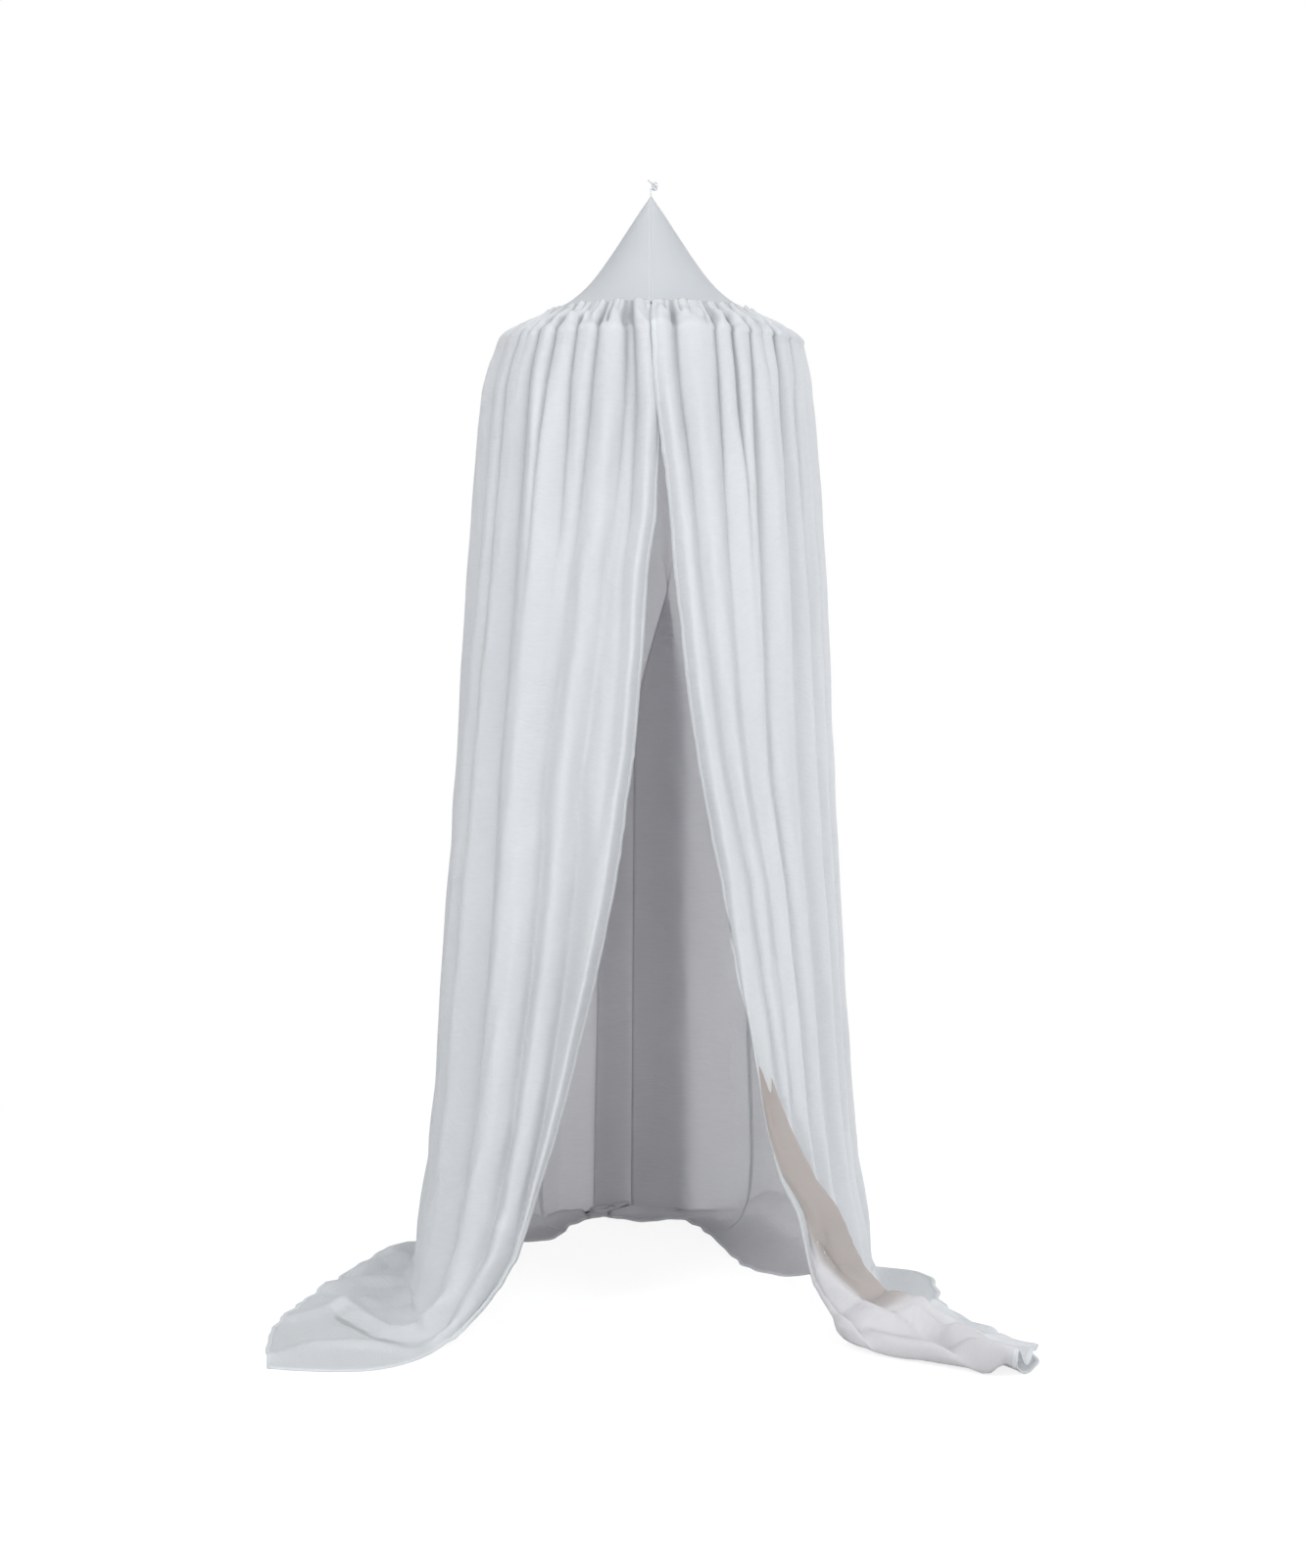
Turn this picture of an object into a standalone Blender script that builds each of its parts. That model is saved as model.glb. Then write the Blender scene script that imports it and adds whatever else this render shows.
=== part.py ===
"""Bed canopy: a gathered muslin curtain that falls from a hidden hoop, under a pointed jersey crown.

The canopy hangs from a short knotted cord at its tip. Four sewn gores make the crown. Below it the
curtain is gathered into a seam, passes over a hoop of four tubes that lies in a cloth channel, and
falls to the floor, where its hem runs out. The doorway is the slit at the front (-Y). Its two leaves
lie drawn apart: the left one spreads on the floor, the right one has its edge turned back.

Metres, +Z up, -Y is the front, +X the right of someone who faces the doorway. The origin is the neck
of the cord, right under its knot. Angles run from the doorway over the left side to the back.
"""

import math

import bpy
import bmesh
import numpy as np
from mathutils import Vector

# Heights below the hanging point
FLOOR_DROP = 1.760
TIP_DROP = 0.012
SEAM_DROP = 0.204
HOOP_DROP = 0.257
LEAF_DROP = 0.292

# Crown
SEAM_RADIUS = 0.166
CROWN_STRAIGHTNESS = 0.70
GORE_FLATNESS = 0.030
JERSEY = 0.0010
SEWN_GAP = 0.0004

# Hanging cord
CORD_DIAMETER = 0.0030
KNOT_RING = 0.0043
KNOT_LOOP = 0.0022
KNOT_DEPTH = 0.0021
KNOT_BEND = 0.0026
KNOT_OPENING = 30.0
TAIL_LENGTH = 0.010
TAIL_SLOPE = 41.0
CORD_INSIDE = 0.016

# Hoop, its joiners and its channel
HOOP_RADIUS = 0.235
HOOP_TUBE = 0.010
HOOP_WALL = 0.0015
JOINER_PLAY = 0.0003
HOOP_BUTT_GAP = 0.0003
CHANNEL_PLAY = 0.0004
CHANNEL_CLOTH = 0.0010
TAPE_WIDTH = 0.012
TAPE_CLOTH = 0.0010

# Curtain
CLOTH = 0.0015
CLOTH_PLAY = 0.0008
PANEL_GAP = 0.0006
SLIT_GAP = 0.0040
BACK_SEAM_ANGLE = 34.0
FOLD_AT_HOOP = 0.005
FOLD_UNDER_HOOP = 0.022
FOLD_IN_FALL = 0.027
FOLD_ON_FLOOR = 0.018
FOLD_AT_HEM = 0.008
FOLD_PLACES = (0.0, 0.10, 0.85, 1.15, 2.0)
FOLD_WIDTH_ANGLE = 18.0

# Where the curtain meets the floor, and how far its hem runs out there: below 0 it runs inwards
SIDE_REACH = (0.348, 0.324)
BACK_REACH = 0.325
LEFT_CORNER = (0.280, 0.345)
RIGHT_CORNER = (0.250, 0.360)
CORNER_ANGLE = 80.0
LEFT_TRAIN = (0.285, 0.171)
RIGHT_TRAIN = (0.335, 0.110)
BACK_TRAIN = (0.090, -0.080, -0.010, -0.025, -0.170, -0.110)
BACK_TRAIN_ANGLES = (112.0, 138.0, 166.0, 192.0, 235.0, 256.0)
HINGE_TRAIN = 0.030
HINGE_NOTCH = (2.0, 24.0)
LEFT_RAKE = 21.0
RIGHT_RAKE = 50.0
RAKE_FADE = 2
LEFT_BOW = (0.050, -0.100)
BOW_ANGLE = 60.0
LEFT_STRAIGHTNESS = 0.0
RIGHT_STRAIGHTNESS = 0.40
STRAIGHT_FROM_ANGLE = 70.0
TOUCH_ROUND = 0.035
TOUCH_REACH = 0.140

# Turned-back edge of the right leaf
LAPEL_ANGLE = 30.0
LAPEL_START = 0.45
LAPEL_FULL = 1.20
LAPEL_LIFT = 0.022
LAPEL_ROUND = 0.012
LAPEL_PRESS = 0.6

# Facets
GORE_COLUMNS = 15
GORE_ROWS = 8
HOOP_STEPS = 40
TUBE_SIDES = 8
FOLD_COLUMNS = 5
FALL_ROWS = 8
LOW_PLACES = (0.93, 0.975)
FLOOR_ROWS = 5
FLOOR_ROW_GROWTH = 1.2
KNOT_STEPS = 44
ENVELOPE_COLUMNS = 240
AIR_SAMPLES = 70
FLOOR_SAMPLES = 30

COLOURS = {
    "muslin": ((0.70, 0.73, 0.74), 0.95),
    "jersey": ((0.60, 0.63, 0.66), 0.90),
    "tape": ((0.66, 0.68, 0.69), 0.90),
    "cord": ((0.62, 0.65, 0.67), 0.85),
    "tube": ((0.78, 0.78, 0.76), 0.45),
    "joiner": ((0.55, 0.56, 0.57), 0.50),
}


def clear_scene():
    """Empty the scene and return the collection that holds the canopy."""
    for thing in list(bpy.data.objects):
        bpy.data.objects.remove(thing)
    collection = bpy.data.collections.new("bed_canopy")
    bpy.context.scene.collection.children.link(collection)
    return collection


def make_material(name):
    """Principled material with the colour and roughness of one kind of piece."""
    colour, roughness = COLOURS[name]
    material = bpy.data.materials.new(name)
    material.use_nodes = True
    shader = material.node_tree.nodes["Principled BSDF"]
    shader.inputs["Base Color"].default_value = (*colour, 1.0)
    shader.inputs["Roughness"].default_value = roughness
    return material


def ease(value):
    """Smooth step from 0 to 1."""
    value = np.clip(value, 0.0, 1.0)
    return value * value * (3.0 - 2.0 * value)


def outward(angle):
    """Level unit vector from the axis, by the angle in degrees from the doorway over the left."""
    turn = np.radians(angle)
    return np.stack([-np.sin(turn), -np.cos(turn)], axis=-1)


def add_mesh(collection, name, material, vertices, faces, smooth=True):
    """Object with a mesh of these vertices and faces."""
    mesh = bpy.data.meshes.new(name)
    mesh.from_pydata([tuple(map(float, v)) for v in vertices], [], faces)
    mesh.validate()
    if smooth:
        mesh.shade_smooth()
    mesh.materials.append(material)
    piece = bpy.data.objects.new(name, mesh)
    collection.objects.link(piece)
    return piece


def grid_faces(rows, columns):
    """Quads of a grid whose rows run down and whose columns run to the left as seen from outside."""
    quads = []
    for row in range(rows - 1):
        for column in range(columns - 1):
            corner = row * columns + column
            quads.append((corner, corner + columns, corner + columns + 1, corner + 1))
    return quads


def add_sheet(collection, name, material, points, thickness):
    """Open sheet through a grid of points, given its thickness evenly to both sides."""
    rows, columns = points.shape[:2]
    piece = add_mesh(collection, name, material, points.reshape(-1, 3), grid_faces(rows, columns))
    solid = piece.modifiers.new("thickness", "SOLIDIFY")
    solid.thickness = thickness
    solid.offset = 0.0
    solid.use_even_offset = False
    return piece


def crown_radius(share):
    """Radius of the crown at a share of its height, from the tip to the seam."""
    tip = CORD_DIAMETER / 2 + SEWN_GAP + JERSEY / 2
    curve = CROWN_STRAIGHTNESS * share + (1.0 - CROWN_STRAIGHTNESS) * share ** 3
    return tip + (SEAM_RADIUS - tip) * curve


def add_gore(collection, material, name, start_angle):
    """One quarter of the crown, a little flat between its seams."""
    columns = np.linspace(0.0, 1.0, GORE_COLUMNS + 1)
    shares = np.linspace(0.0, 1.0, GORE_ROWS + 1)
    points = np.zeros((len(shares), len(columns), 3))
    for row, share in enumerate(shares):
        radius = crown_radius(share)
        margin = math.degrees(math.asin(SEWN_GAP / 2 / (radius - JERSEY / 2)))
        angles = start_angle + margin + (90.0 - 2.0 * margin) * columns
        flatness = GORE_FLATNESS * np.abs(np.sin(np.radians(2.0 * angles)))
        points[row, :, :2] = outward(angles) * (radius * (1.0 - flatness * (1.0 - share ** 4)))[:, None]
        points[row, :, 2] = -TIP_DROP - (SEAM_DROP - TIP_DROP) * share
    return add_sheet(collection, name, material, points, JERSEY)


def length_along(path):
    """Length from the start of a path to each of its points."""
    steps = np.linalg.norm(np.diff(path, axis=0), axis=1)
    return np.concatenate([[0.0], np.cumsum(steps)])


def knot_route():
    """Points of the hanging cord: up out of the crown, through an overhand knot, out as a tail."""
    opening = math.radians(KNOT_OPENING)
    turn = np.linspace(opening, 2.0 * math.pi - opening, KNOT_STEPS)
    reach = KNOT_RING + KNOT_LOOP * np.cos(3.0 * turn)
    middle = np.array([
        KNOT_BEND + KNOT_RING * math.cos(2.0 * opening),
        0.0,
        KNOT_BEND + KNOT_RING * math.sin(2.0 * opening),
    ])
    knot = middle + np.stack([
        -reach * np.cos(2.0 * turn),
        KNOT_DEPTH * np.sin(3.0 * turn),
        reach * np.sin(2.0 * turn),
    ], axis=1)
    slope = math.radians(TAIL_SLOPE)
    tail_run = np.array([-math.cos(slope), 0.0, math.sin(slope)]) * TAIL_LENGTH
    tail = [knot[0] + tail_run * share for share in (1.0, 0.6, 0.25)]
    swing = np.linspace(0.0, math.pi / 2, 7)[1:]
    entry = np.stack([
        KNOT_BEND * (1.0 - np.sin(swing)),
        -KNOT_DEPTH * (1.0 - ease(swing / (math.pi / 2))),
        KNOT_BEND * np.cos(swing),
    ], axis=1)
    stem = [np.array([0.0, 0.0, -(TIP_DROP + CORD_INSIDE) * share]) for share in (0.35, 0.7, 1.0)]
    return np.array(tail + list(knot) + list(entry) + stem)


def least_gap(route, diameter):
    """Least clear distance between stretches of a cord that are apart along its length."""
    along = length_along(route)
    apart = np.abs(along[:, None] - along[None]) > 2.5 * diameter
    distance = np.linalg.norm(route[:, None] - route[None], axis=2)
    return float(distance[apart].min() - diameter)


def add_cord(collection, material, name, route, diameter):
    """Round cord along a route, with filled ends."""
    curve = bpy.data.curves.new(name, "CURVE")
    curve.dimensions = "3D"
    curve.bevel_depth = diameter / 2
    curve.bevel_resolution = 2
    curve.use_fill_caps = True
    spline = curve.splines.new("POLY")
    spline.points.add(len(route) - 1)
    for point, place in zip(spline.points, route):
        point.co = (*map(float, place), 1.0)
    curve.materials.append(material)
    piece = bpy.data.objects.new(name, curve)
    collection.objects.link(piece)
    return piece


def ring_section(radius, angle):
    """Corners of a tube's section around the hoop's line, at an angle from the doorway."""
    corners = []
    for side in range(TUBE_SIDES):
        turn = 2.0 * math.pi * (side + 0.5) / TUBE_SIDES
        level = outward(angle) * (HOOP_RADIUS + radius * math.cos(turn))
        corners.append((level[0], level[1], -HOOP_DROP + radius * math.sin(turn)))
    return corners


def hoop_angles(first, last, shorten):
    """Angles on the hoop's steps between two of them, with both ends drawn in."""
    step = 360.0 / HOOP_STEPS
    angles = [first + step * count for count in range(round((last - first) / step) + 1)]
    angles[0] += shorten
    angles[-1] -= shorten
    return angles


def add_hoop_tube(collection, material, name, angles, outer, inner):
    """Curved tube, or rod where inner is 0, along the hoop's line."""
    vertices, faces = [], []
    walls = [outer, inner] if inner else [outer]
    for angle in angles:
        for radius in walls:
            vertices.extend(ring_section(radius, angle))
    ring = TUBE_SIDES * len(walls)
    for row in range(len(angles) - 1):
        for wall in range(len(walls)):
            for side in range(TUBE_SIDES):
                low = row * ring + wall * TUBE_SIDES
                near, far = low + side, low + (side + 1) % TUBE_SIDES
                quad = (near, far, far + ring, near + ring)
                faces.append(quad if wall == 0 else quad[::-1])
    last = (len(angles) - 1) * ring
    if inner:
        for side in range(TUBE_SIDES):
            following = (side + 1) % TUBE_SIDES
            start = (side, side + TUBE_SIDES, following + TUBE_SIDES, following)
            faces.append(start)
            faces.append(tuple(last + corner for corner in reversed(start)))
    else:
        faces.append(tuple(reversed(range(TUBE_SIDES))))
        faces.append(tuple(last + side for side in range(TUBE_SIDES)))
    piece = add_mesh(collection, name, material, vertices, faces, smooth=False)
    recalculate_normals(piece)
    return piece


def recalculate_normals(piece):
    """Turn a closed mesh's faces outwards."""
    shape = bmesh.new()
    shape.from_mesh(piece.data)
    bmesh.ops.recalc_face_normals(shape, faces=shape.faces)
    shape.to_mesh(piece.data)
    shape.free()


def channel_radius():
    """Outer radius of the cloth channel around the hoop."""
    return HOOP_TUBE / 2 + CHANNEL_PLAY + CHANNEL_CLOTH


def heading_profile():
    """Radius and height from the seam to the hoop and over it, at the inner side of the folds."""
    wrap = channel_radius() + CLOTH_PLAY + CLOTH / 2
    seam = Vector((SEAM_RADIUS + SEWN_GAP, -SEAM_DROP - SEWN_GAP))
    hoop = Vector((HOOP_RADIUS, -HOOP_DROP))
    line = hoop - seam
    slope = math.atan2(line.y, line.x) + math.asin(wrap / line.length)
    first = slope + math.pi / 2
    run = math.sqrt(line.length ** 2 - wrap ** 2)
    along = Vector((math.cos(slope), math.sin(slope)))
    profile = [seam + along * run * share for share in (0.0, 0.5)]
    for share in (0.0, 0.5, 1.0):
        turn = first * (1.0 - share)
        profile.append(hoop + Vector((math.cos(turn), math.sin(turn))) * wrap)
    return profile


def touch_point(angle):
    """Where the curtain meets the floor: an oval, drawn apart at the corners of the doorway."""
    turn = np.radians(angle)
    left = angle < 180.0
    front = np.cos(turn) > 0.0
    corner_x = np.where(left, LEFT_CORNER[0], RIGHT_CORNER[0])
    corner_y = np.where(left, LEFT_CORNER[1], RIGHT_CORNER[1])
    reach = np.where(left, SIDE_REACH[0], SIDE_REACH[1])
    side = np.abs(np.sin(turn))
    reach_x = np.where(front, corner_x + (reach - corner_x) * side, reach * side)
    pull_y = (corner_y - BACK_REACH) * (1.0 - ease(angle_from_front(angle) / CORNER_ANGLE))
    return np.stack([np.where(left, -reach_x, reach_x), -BACK_REACH * np.cos(turn) - pull_y], axis=-1)


def angle_from_front(angle):
    """Angle to the doorway, the same on both sides."""
    return np.where(angle < 180.0, angle, 360.0 - angle)


def train_run(angle):
    """How far and where the cloth runs on the floor: out at the front, in at the back, short at the hinges."""
    left = angle < 180.0
    from_front = angle_from_front(angle)
    share = ease(from_front / 90.0)
    corner = np.where(left, LEFT_TRAIN[0], RIGHT_TRAIN[0])
    side = np.where(left, LEFT_TRAIN[1], RIGHT_TRAIN[1])
    behind = np.interp(angle, BACK_TRAIN_ANGLES, BACK_TRAIN)
    length = np.where(from_front < 90.0, corner + (side - corner) * share, behind)
    notch = ease((np.abs(from_front - 90.0) - HINGE_NOTCH[0]) / HINGE_NOTCH[1])
    length = HINGE_TRAIN + (length - HINGE_TRAIN) * notch
    rake = np.where(left, LEFT_RAKE, -RIGHT_RAKE) * np.clip(1.0 - from_front / 90.0, 0.0, 1.0) ** RAKE_FADE
    heading = np.where(from_front < 90.0, np.where(left, 90.0, 270.0) - rake, angle)
    return outward(heading) * length[:, None]


def smooth_touch(path):
    """Round the corner where a column of cloth meets the floor."""
    along = length_along(path)
    near = np.exp(-((along[:, None] - along[None]) / TOUCH_ROUND) ** 2 / 2.0) * np.gradient(along)
    soft = (near / near.sum(axis=1, keepdims=True)) @ path
    share = np.exp(-((along - along[AIR_SAMPLES - 1]) / TOUCH_REACH) ** 4)
    share *= ease((along[-1] - along) / (TOUCH_REACH / 2))
    return path + (soft - path) * share[:, None]


def build_envelope():
    """Grid of the curtain's inner side, from the hoop down to the floor and out to the hem."""
    angles = np.linspace(0.0, 360.0, ENVELOPE_COLUMNS + 1)
    start = heading_profile()[-1]
    top = outward(angles) * start.x
    touch = touch_point(angles)
    hem = touch + train_run(angles)
    from_front = angle_from_front(angles)
    straight = np.where(angles < 180.0, LEFT_STRAIGHTNESS, RIGHT_STRAIGHTNESS)
    straight = straight + (1.0 - straight) * ease(from_front / STRAIGHT_FROM_ANGLE)
    bow = np.where(angles < 180.0, 1.0 - ease(angles / BOW_ANGLE), 0.0)[:, None] * np.array(LEFT_BOW)
    fall = np.linspace(0.0, 1.0, AIR_SAMPLES)
    run = np.linspace(0.0, 1.0, FLOOR_SAMPLES + 1)[1:]
    columns = []
    for column in range(len(angles)):
        pull = straight[column] * fall + (1.0 - straight[column]) * fall ** 3
        level = top[column] + pull[:, None] * (touch[column] - top[column])
        height = start.y + (-FLOOR_DROP + CLOTH / 2 - start.y) * fall
        air = np.column_stack([level, height])
        control = (touch[column] + hem[column]) / 2 + bow[column]
        ahead = run[:, None]
        ground = ((1 - ahead) ** 2 * touch[column] + 2 * ahead * (1 - ahead) * control
                  + ahead ** 2 * hem[column])
        floor = np.column_stack([ground, np.full(len(run), -FLOOR_DROP + CLOTH / 2)])
        columns.append(smooth_touch(np.concatenate([air, floor])))
    return np.stack(columns, axis=1)


def sample(grid, angle, place):
    """Read a grid between its points, by the angle and by the place: 0 hoop, 1 floor, 2 hem."""
    column = np.clip(angle / 360.0, 0.0, 1.0) * (grid.shape[1] - 1)
    air_row = np.clip(place, 0.0, 1.0) * (AIR_SAMPLES - 1)
    row = air_row + np.clip(place - 1.0, 0.0, 1.0) * FLOOR_SAMPLES
    left = np.minimum(column.astype(int), grid.shape[1] - 2)
    upper = np.minimum(row.astype(int), grid.shape[0] - 2)
    across = (column - left)[..., None]
    down = (row - upper)[..., None]
    high = grid[upper, left] * (1 - across) + grid[upper, left + 1] * across
    low = grid[upper + 1, left] * (1 - across) + grid[upper + 1, left + 1] * across
    return high * (1 - down) + low * down


def outer_normals(grid):
    """Unit normals of the grid on the curtain's outer side, upwards on the floor."""
    normal = np.cross(np.gradient(grid, axis=1), np.gradient(grid, axis=0))
    normal[..., 2] = np.abs(normal[..., 2])
    return normal / np.linalg.norm(normal, axis=2, keepdims=True)


def fold_height(place):
    """Depth of the main folds along the fall."""
    depths = (FOLD_AT_HOOP, FOLD_UNDER_HOOP, FOLD_IN_FALL, FOLD_ON_FLOOR, FOLD_AT_HEM)
    return np.interp(place, FOLD_PLACES, depths)


def fold_count(first, last):
    """Number of main folds between two seams."""
    return max(1, round((last - first) / FOLD_WIDTH_ANGLE))


def fold_angles(first, last, ends):
    """Angles of the cloth's columns between two seams, drawn in at both ends."""
    return np.linspace(first + ends[0], last - ends[1], fold_count(first, last) * FOLD_COLUMNS + 1)


def fold_wave(angle, first, last):
    """Main folds between two seams, shallow at both."""
    share = (angle - first) / (last - first)
    return 0.5 - 0.5 * np.cos(2.0 * math.pi * fold_count(first, last) * share)


def lapel(angle, place):
    """Fold the right leaf's edge back over its outer side, wider towards the floor."""
    width = LAPEL_ANGLE * ease((place - LAPEL_START) / (LAPEL_FULL - LAPEL_START))
    crease = 360.0 - width / 2
    beyond = angle - crease
    soft = math.degrees(LAPEL_ROUND / SIDE_REACH[1])
    turned = crease - np.sqrt(beyond ** 2 + soft ** 2)
    rise = ease((beyond + soft) / (2.0 * soft))
    strength = ease(width / (2.0 * soft))
    return angle + (turned - angle) * strength, rise * LAPEL_LIFT * strength


def hanging_points(envelope, normals, first, last, ends, places):
    """Folded cloth between two seam angles, on a grid of places down the fall."""
    angle, place = np.meshgrid(fold_angles(first, last, ends), places)
    wave = fold_wave(angle, first, last)
    lift = fold_height(place) * wave
    if last == 360.0:
        angle, rise = lapel(angle, place)
        lift = lift * (1.0 - ease(rise / LAPEL_LIFT) * LAPEL_PRESS) + rise
    points = sample(envelope, angle, place)
    direction = sample(normals, angle, place)
    points = points + direction * lift[..., None]
    points[..., 2] = np.maximum(points[..., 2], -FLOOR_DROP + CLOTH / 2)
    return points


def heading_points(first, last, ends):
    """Gathered cloth from the seam to the hoop and over it."""
    angles = fold_angles(first, last, ends)
    profile = heading_profile()
    rows = []
    for index, point in enumerate(profile):
        before, after = profile[max(index - 1, 0)], profile[min(index + 1, len(profile) - 1)]
        along = (after - before).normalized()
        depth = (FOLD_AT_HOOP if index else 0.0) * fold_wave(angles, first, last)
        level = outward(angles) * (point.x - along.y * depth)[:, None]
        rows.append(np.column_stack([level, point.y + along.x * depth]))
    return np.stack(rows)


def leaf_start(envelope):
    """Place on the fall where the leaves leave their headings."""
    top = envelope[0, 0, 2]
    return (top + LEAF_DROP) / (top + FLOOR_DROP - CLOTH / 2)


def add_curtain(collection, material):
    """Headings, leaves and back panels of the curtain."""
    envelope = build_envelope()
    normals = outer_normals(envelope)
    split = leaf_start(envelope)
    play = PANEL_GAP / (FLOOR_DROP - HOOP_DROP)
    fall_rows = np.linspace(split + play, LOW_PLACES[0], FALL_ROWS)
    floor_rows = 1.0 + np.linspace(0.0, 1.0, FLOOR_ROWS + 1) ** FLOOR_ROW_GROWTH
    leaf_rows = np.concatenate([fall_rows, LOW_PLACES[1:], floor_rows])
    back_rows = np.concatenate([[split], leaf_rows[1:]])
    seam = math.degrees(PANEL_GAP / 2 / HOOP_RADIUS)
    slit = math.degrees(SLIT_GAP / 2 / HOOP_RADIUS)
    back = 180.0 - BACK_SEAM_ANGLE

    for side, first, last, ends in (
        ("left", 0.0, 90.0, (slit, seam)),
        ("right", 270.0, 360.0, (seam, slit)),
    ):
        heading = heading_points(first, last, ends)
        drop = hanging_points(envelope, normals, first, last, ends, [split])
        add_sheet(collection, side + "_front_heading", material,
                  np.concatenate([heading, drop]), CLOTH)
        leaf = hanging_points(envelope, normals, first, last, ends, leaf_rows)
        add_sheet(collection, side + "_leaf", material, leaf, CLOTH)

    for name, first, last in (
        ("left_side_panel", 90.0, back),
        ("back_panel", back, 360.0 - back),
        ("right_side_panel", 360.0 - back, 270.0),
    ):
        ends = (seam, seam)
        heading = heading_points(first, last, ends)
        fall = hanging_points(envelope, normals, first, last, ends, back_rows)
        add_sheet(collection, name, material, np.concatenate([heading, fall]), CLOTH)


def add_gather_tape(collection, material):
    """Woven tape that holds the gathers, inside the seam of crown and curtain."""
    profile = heading_profile()
    along = (profile[1] - profile[0]).normalized()
    inward = Vector((along.y, -along.x))
    depth = CLOTH / 2 + SEWN_GAP + TAPE_CLOTH / 2
    edges = [profile[0] + inward * depth, profile[0] + inward * depth + along * TAPE_WIDTH]
    steps = 4 * GORE_COLUMNS
    vertices, faces = [], []
    for column in range(steps):
        level = outward(360.0 * column / steps)
        for edge in edges:
            vertices.append((level[0] * edge.x, level[1] * edge.x, edge.y))
    for column in range(steps):
        near, far = 2 * column, 2 * ((column + 1) % steps)
        faces.append((near, near + 1, far + 1, far))
    tape = add_mesh(collection, "gather_tape", material, vertices, faces)
    solid = tape.modifiers.new("thickness", "SOLIDIFY")
    solid.thickness = TAPE_CLOTH
    solid.offset = 0.0
    return tape


def add_hoop(collection, tube, joiner, muslin):
    """Four tubes, the four rods that join them, and the cloth channel they are pushed into."""
    step = 360.0 / HOOP_STEPS
    first = step * round(45.0 / step)
    quarter = step * (HOOP_STEPS // 4)
    shorten = math.degrees(HOOP_BUTT_GAP / 2 / HOOP_RADIUS)
    bore = HOOP_TUBE / 2 - HOOP_WALL
    for count in range(4):
        start = first + quarter * count
        add_hoop_tube(collection, tube, f"hoop_tube_{count + 1}",
                      hoop_angles(start, start + quarter, shorten), HOOP_TUBE / 2, bore)
        add_hoop_tube(collection, joiner, f"hoop_joiner_{count + 1}",
                      hoop_angles(start - step, start + step, 0.0), bore - JOINER_PLAY, 0.0)
    mouth = 180.0 + step
    inner = HOOP_TUBE / 2 + CHANNEL_PLAY
    add_hoop_tube(collection, muslin, "hoop_channel",
                  hoop_angles(mouth, 540.0 - step, 0.0), inner + CHANNEL_CLOTH, inner)


def build_canopy():
    """Build every piece of the canopy."""
    collection = clear_scene()
    finish = {name: make_material(name) for name in COLOURS}
    route = knot_route()
    print(f"hanging cord: least gap to itself {least_gap(route, CORD_DIAMETER) * 1000:.2f} mm")
    add_cord(collection, finish["cord"], "hanging_cord", route, CORD_DIAMETER)
    for name, start in (("front_left", 0.0), ("back_left", 90.0),
                        ("back_right", 180.0), ("front_right", 270.0)):
        add_gore(collection, finish["jersey"], "crown_gore_" + name, start)
    add_gather_tape(collection, finish["tape"])
    add_hoop(collection, finish["tube"], finish["joiner"], finish["muslin"])
    add_curtain(collection, finish["muslin"])


build_canopy()
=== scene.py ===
"""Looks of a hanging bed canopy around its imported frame: cloth, stitching, hoop, light and camera.

Metres, +Z up, -Y towards the doorway's front, origin at the neck of the hanging cord. Angles run from
the doorway over the left side to the back. A place on the curtain is -1 at the crown's seam, 0 under
the hoop, 1 where the cloth meets the floor and 2 at the hem.
"""

import logging
import math
from dataclasses import dataclass
from enum import Enum

import bpy
import numpy as np
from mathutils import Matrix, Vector


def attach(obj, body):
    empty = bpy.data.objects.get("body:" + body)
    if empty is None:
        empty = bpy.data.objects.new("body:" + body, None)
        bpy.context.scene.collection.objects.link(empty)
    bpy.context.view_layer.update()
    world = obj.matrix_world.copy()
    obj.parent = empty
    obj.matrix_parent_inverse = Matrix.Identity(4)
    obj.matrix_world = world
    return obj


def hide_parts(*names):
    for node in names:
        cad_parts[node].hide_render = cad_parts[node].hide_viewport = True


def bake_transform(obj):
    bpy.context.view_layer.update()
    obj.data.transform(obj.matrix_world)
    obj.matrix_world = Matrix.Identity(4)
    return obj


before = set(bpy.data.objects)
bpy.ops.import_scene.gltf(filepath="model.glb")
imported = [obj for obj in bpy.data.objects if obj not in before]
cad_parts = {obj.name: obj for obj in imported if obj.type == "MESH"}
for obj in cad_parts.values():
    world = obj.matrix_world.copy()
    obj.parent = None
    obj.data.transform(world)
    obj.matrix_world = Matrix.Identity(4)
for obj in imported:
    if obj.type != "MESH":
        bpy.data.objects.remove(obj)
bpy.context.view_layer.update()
LOG = logging.getLogger("bed_canopy")
Array = np.ndarray
Pair = tuple[float, float]
Triple = tuple[float, float, float]
Colour = Gloss = Triple
Ramp = Pair
Table = tuple[Pair, ...]
Material = bpy.types.Material
Piece = bpy.types.Object
Socket = bpy.types.NodeSocket
Value = Socket | float | str | tuple[float, ...]
Inputs = dict[str | int, Value]


def ease(value: Array) -> Array:
    """Smooth step from 0 to 1."""
    value = np.clip(value, 0.0, 1.0)
    return value * value * (3.0 - 2.0 * value)


def ramp(value: Array, start: float, run: float) -> Array:
    """Smooth step from 0 at a start to 1 a run further, or a run before it where the run is negative."""
    return ease((value - start) / run)


def read_table(table: Table, where: Array) -> Array:
    """Second column of a table, in straight lines between its rows."""
    return np.interp(where, *zip(*table))


def outward(angle: Array) -> Array:
    """Level unit vectors from the axis at angles in degrees."""
    turn = np.radians(angle)
    return np.stack([-np.sin(turn), -np.cos(turn)], axis=-1)


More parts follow.
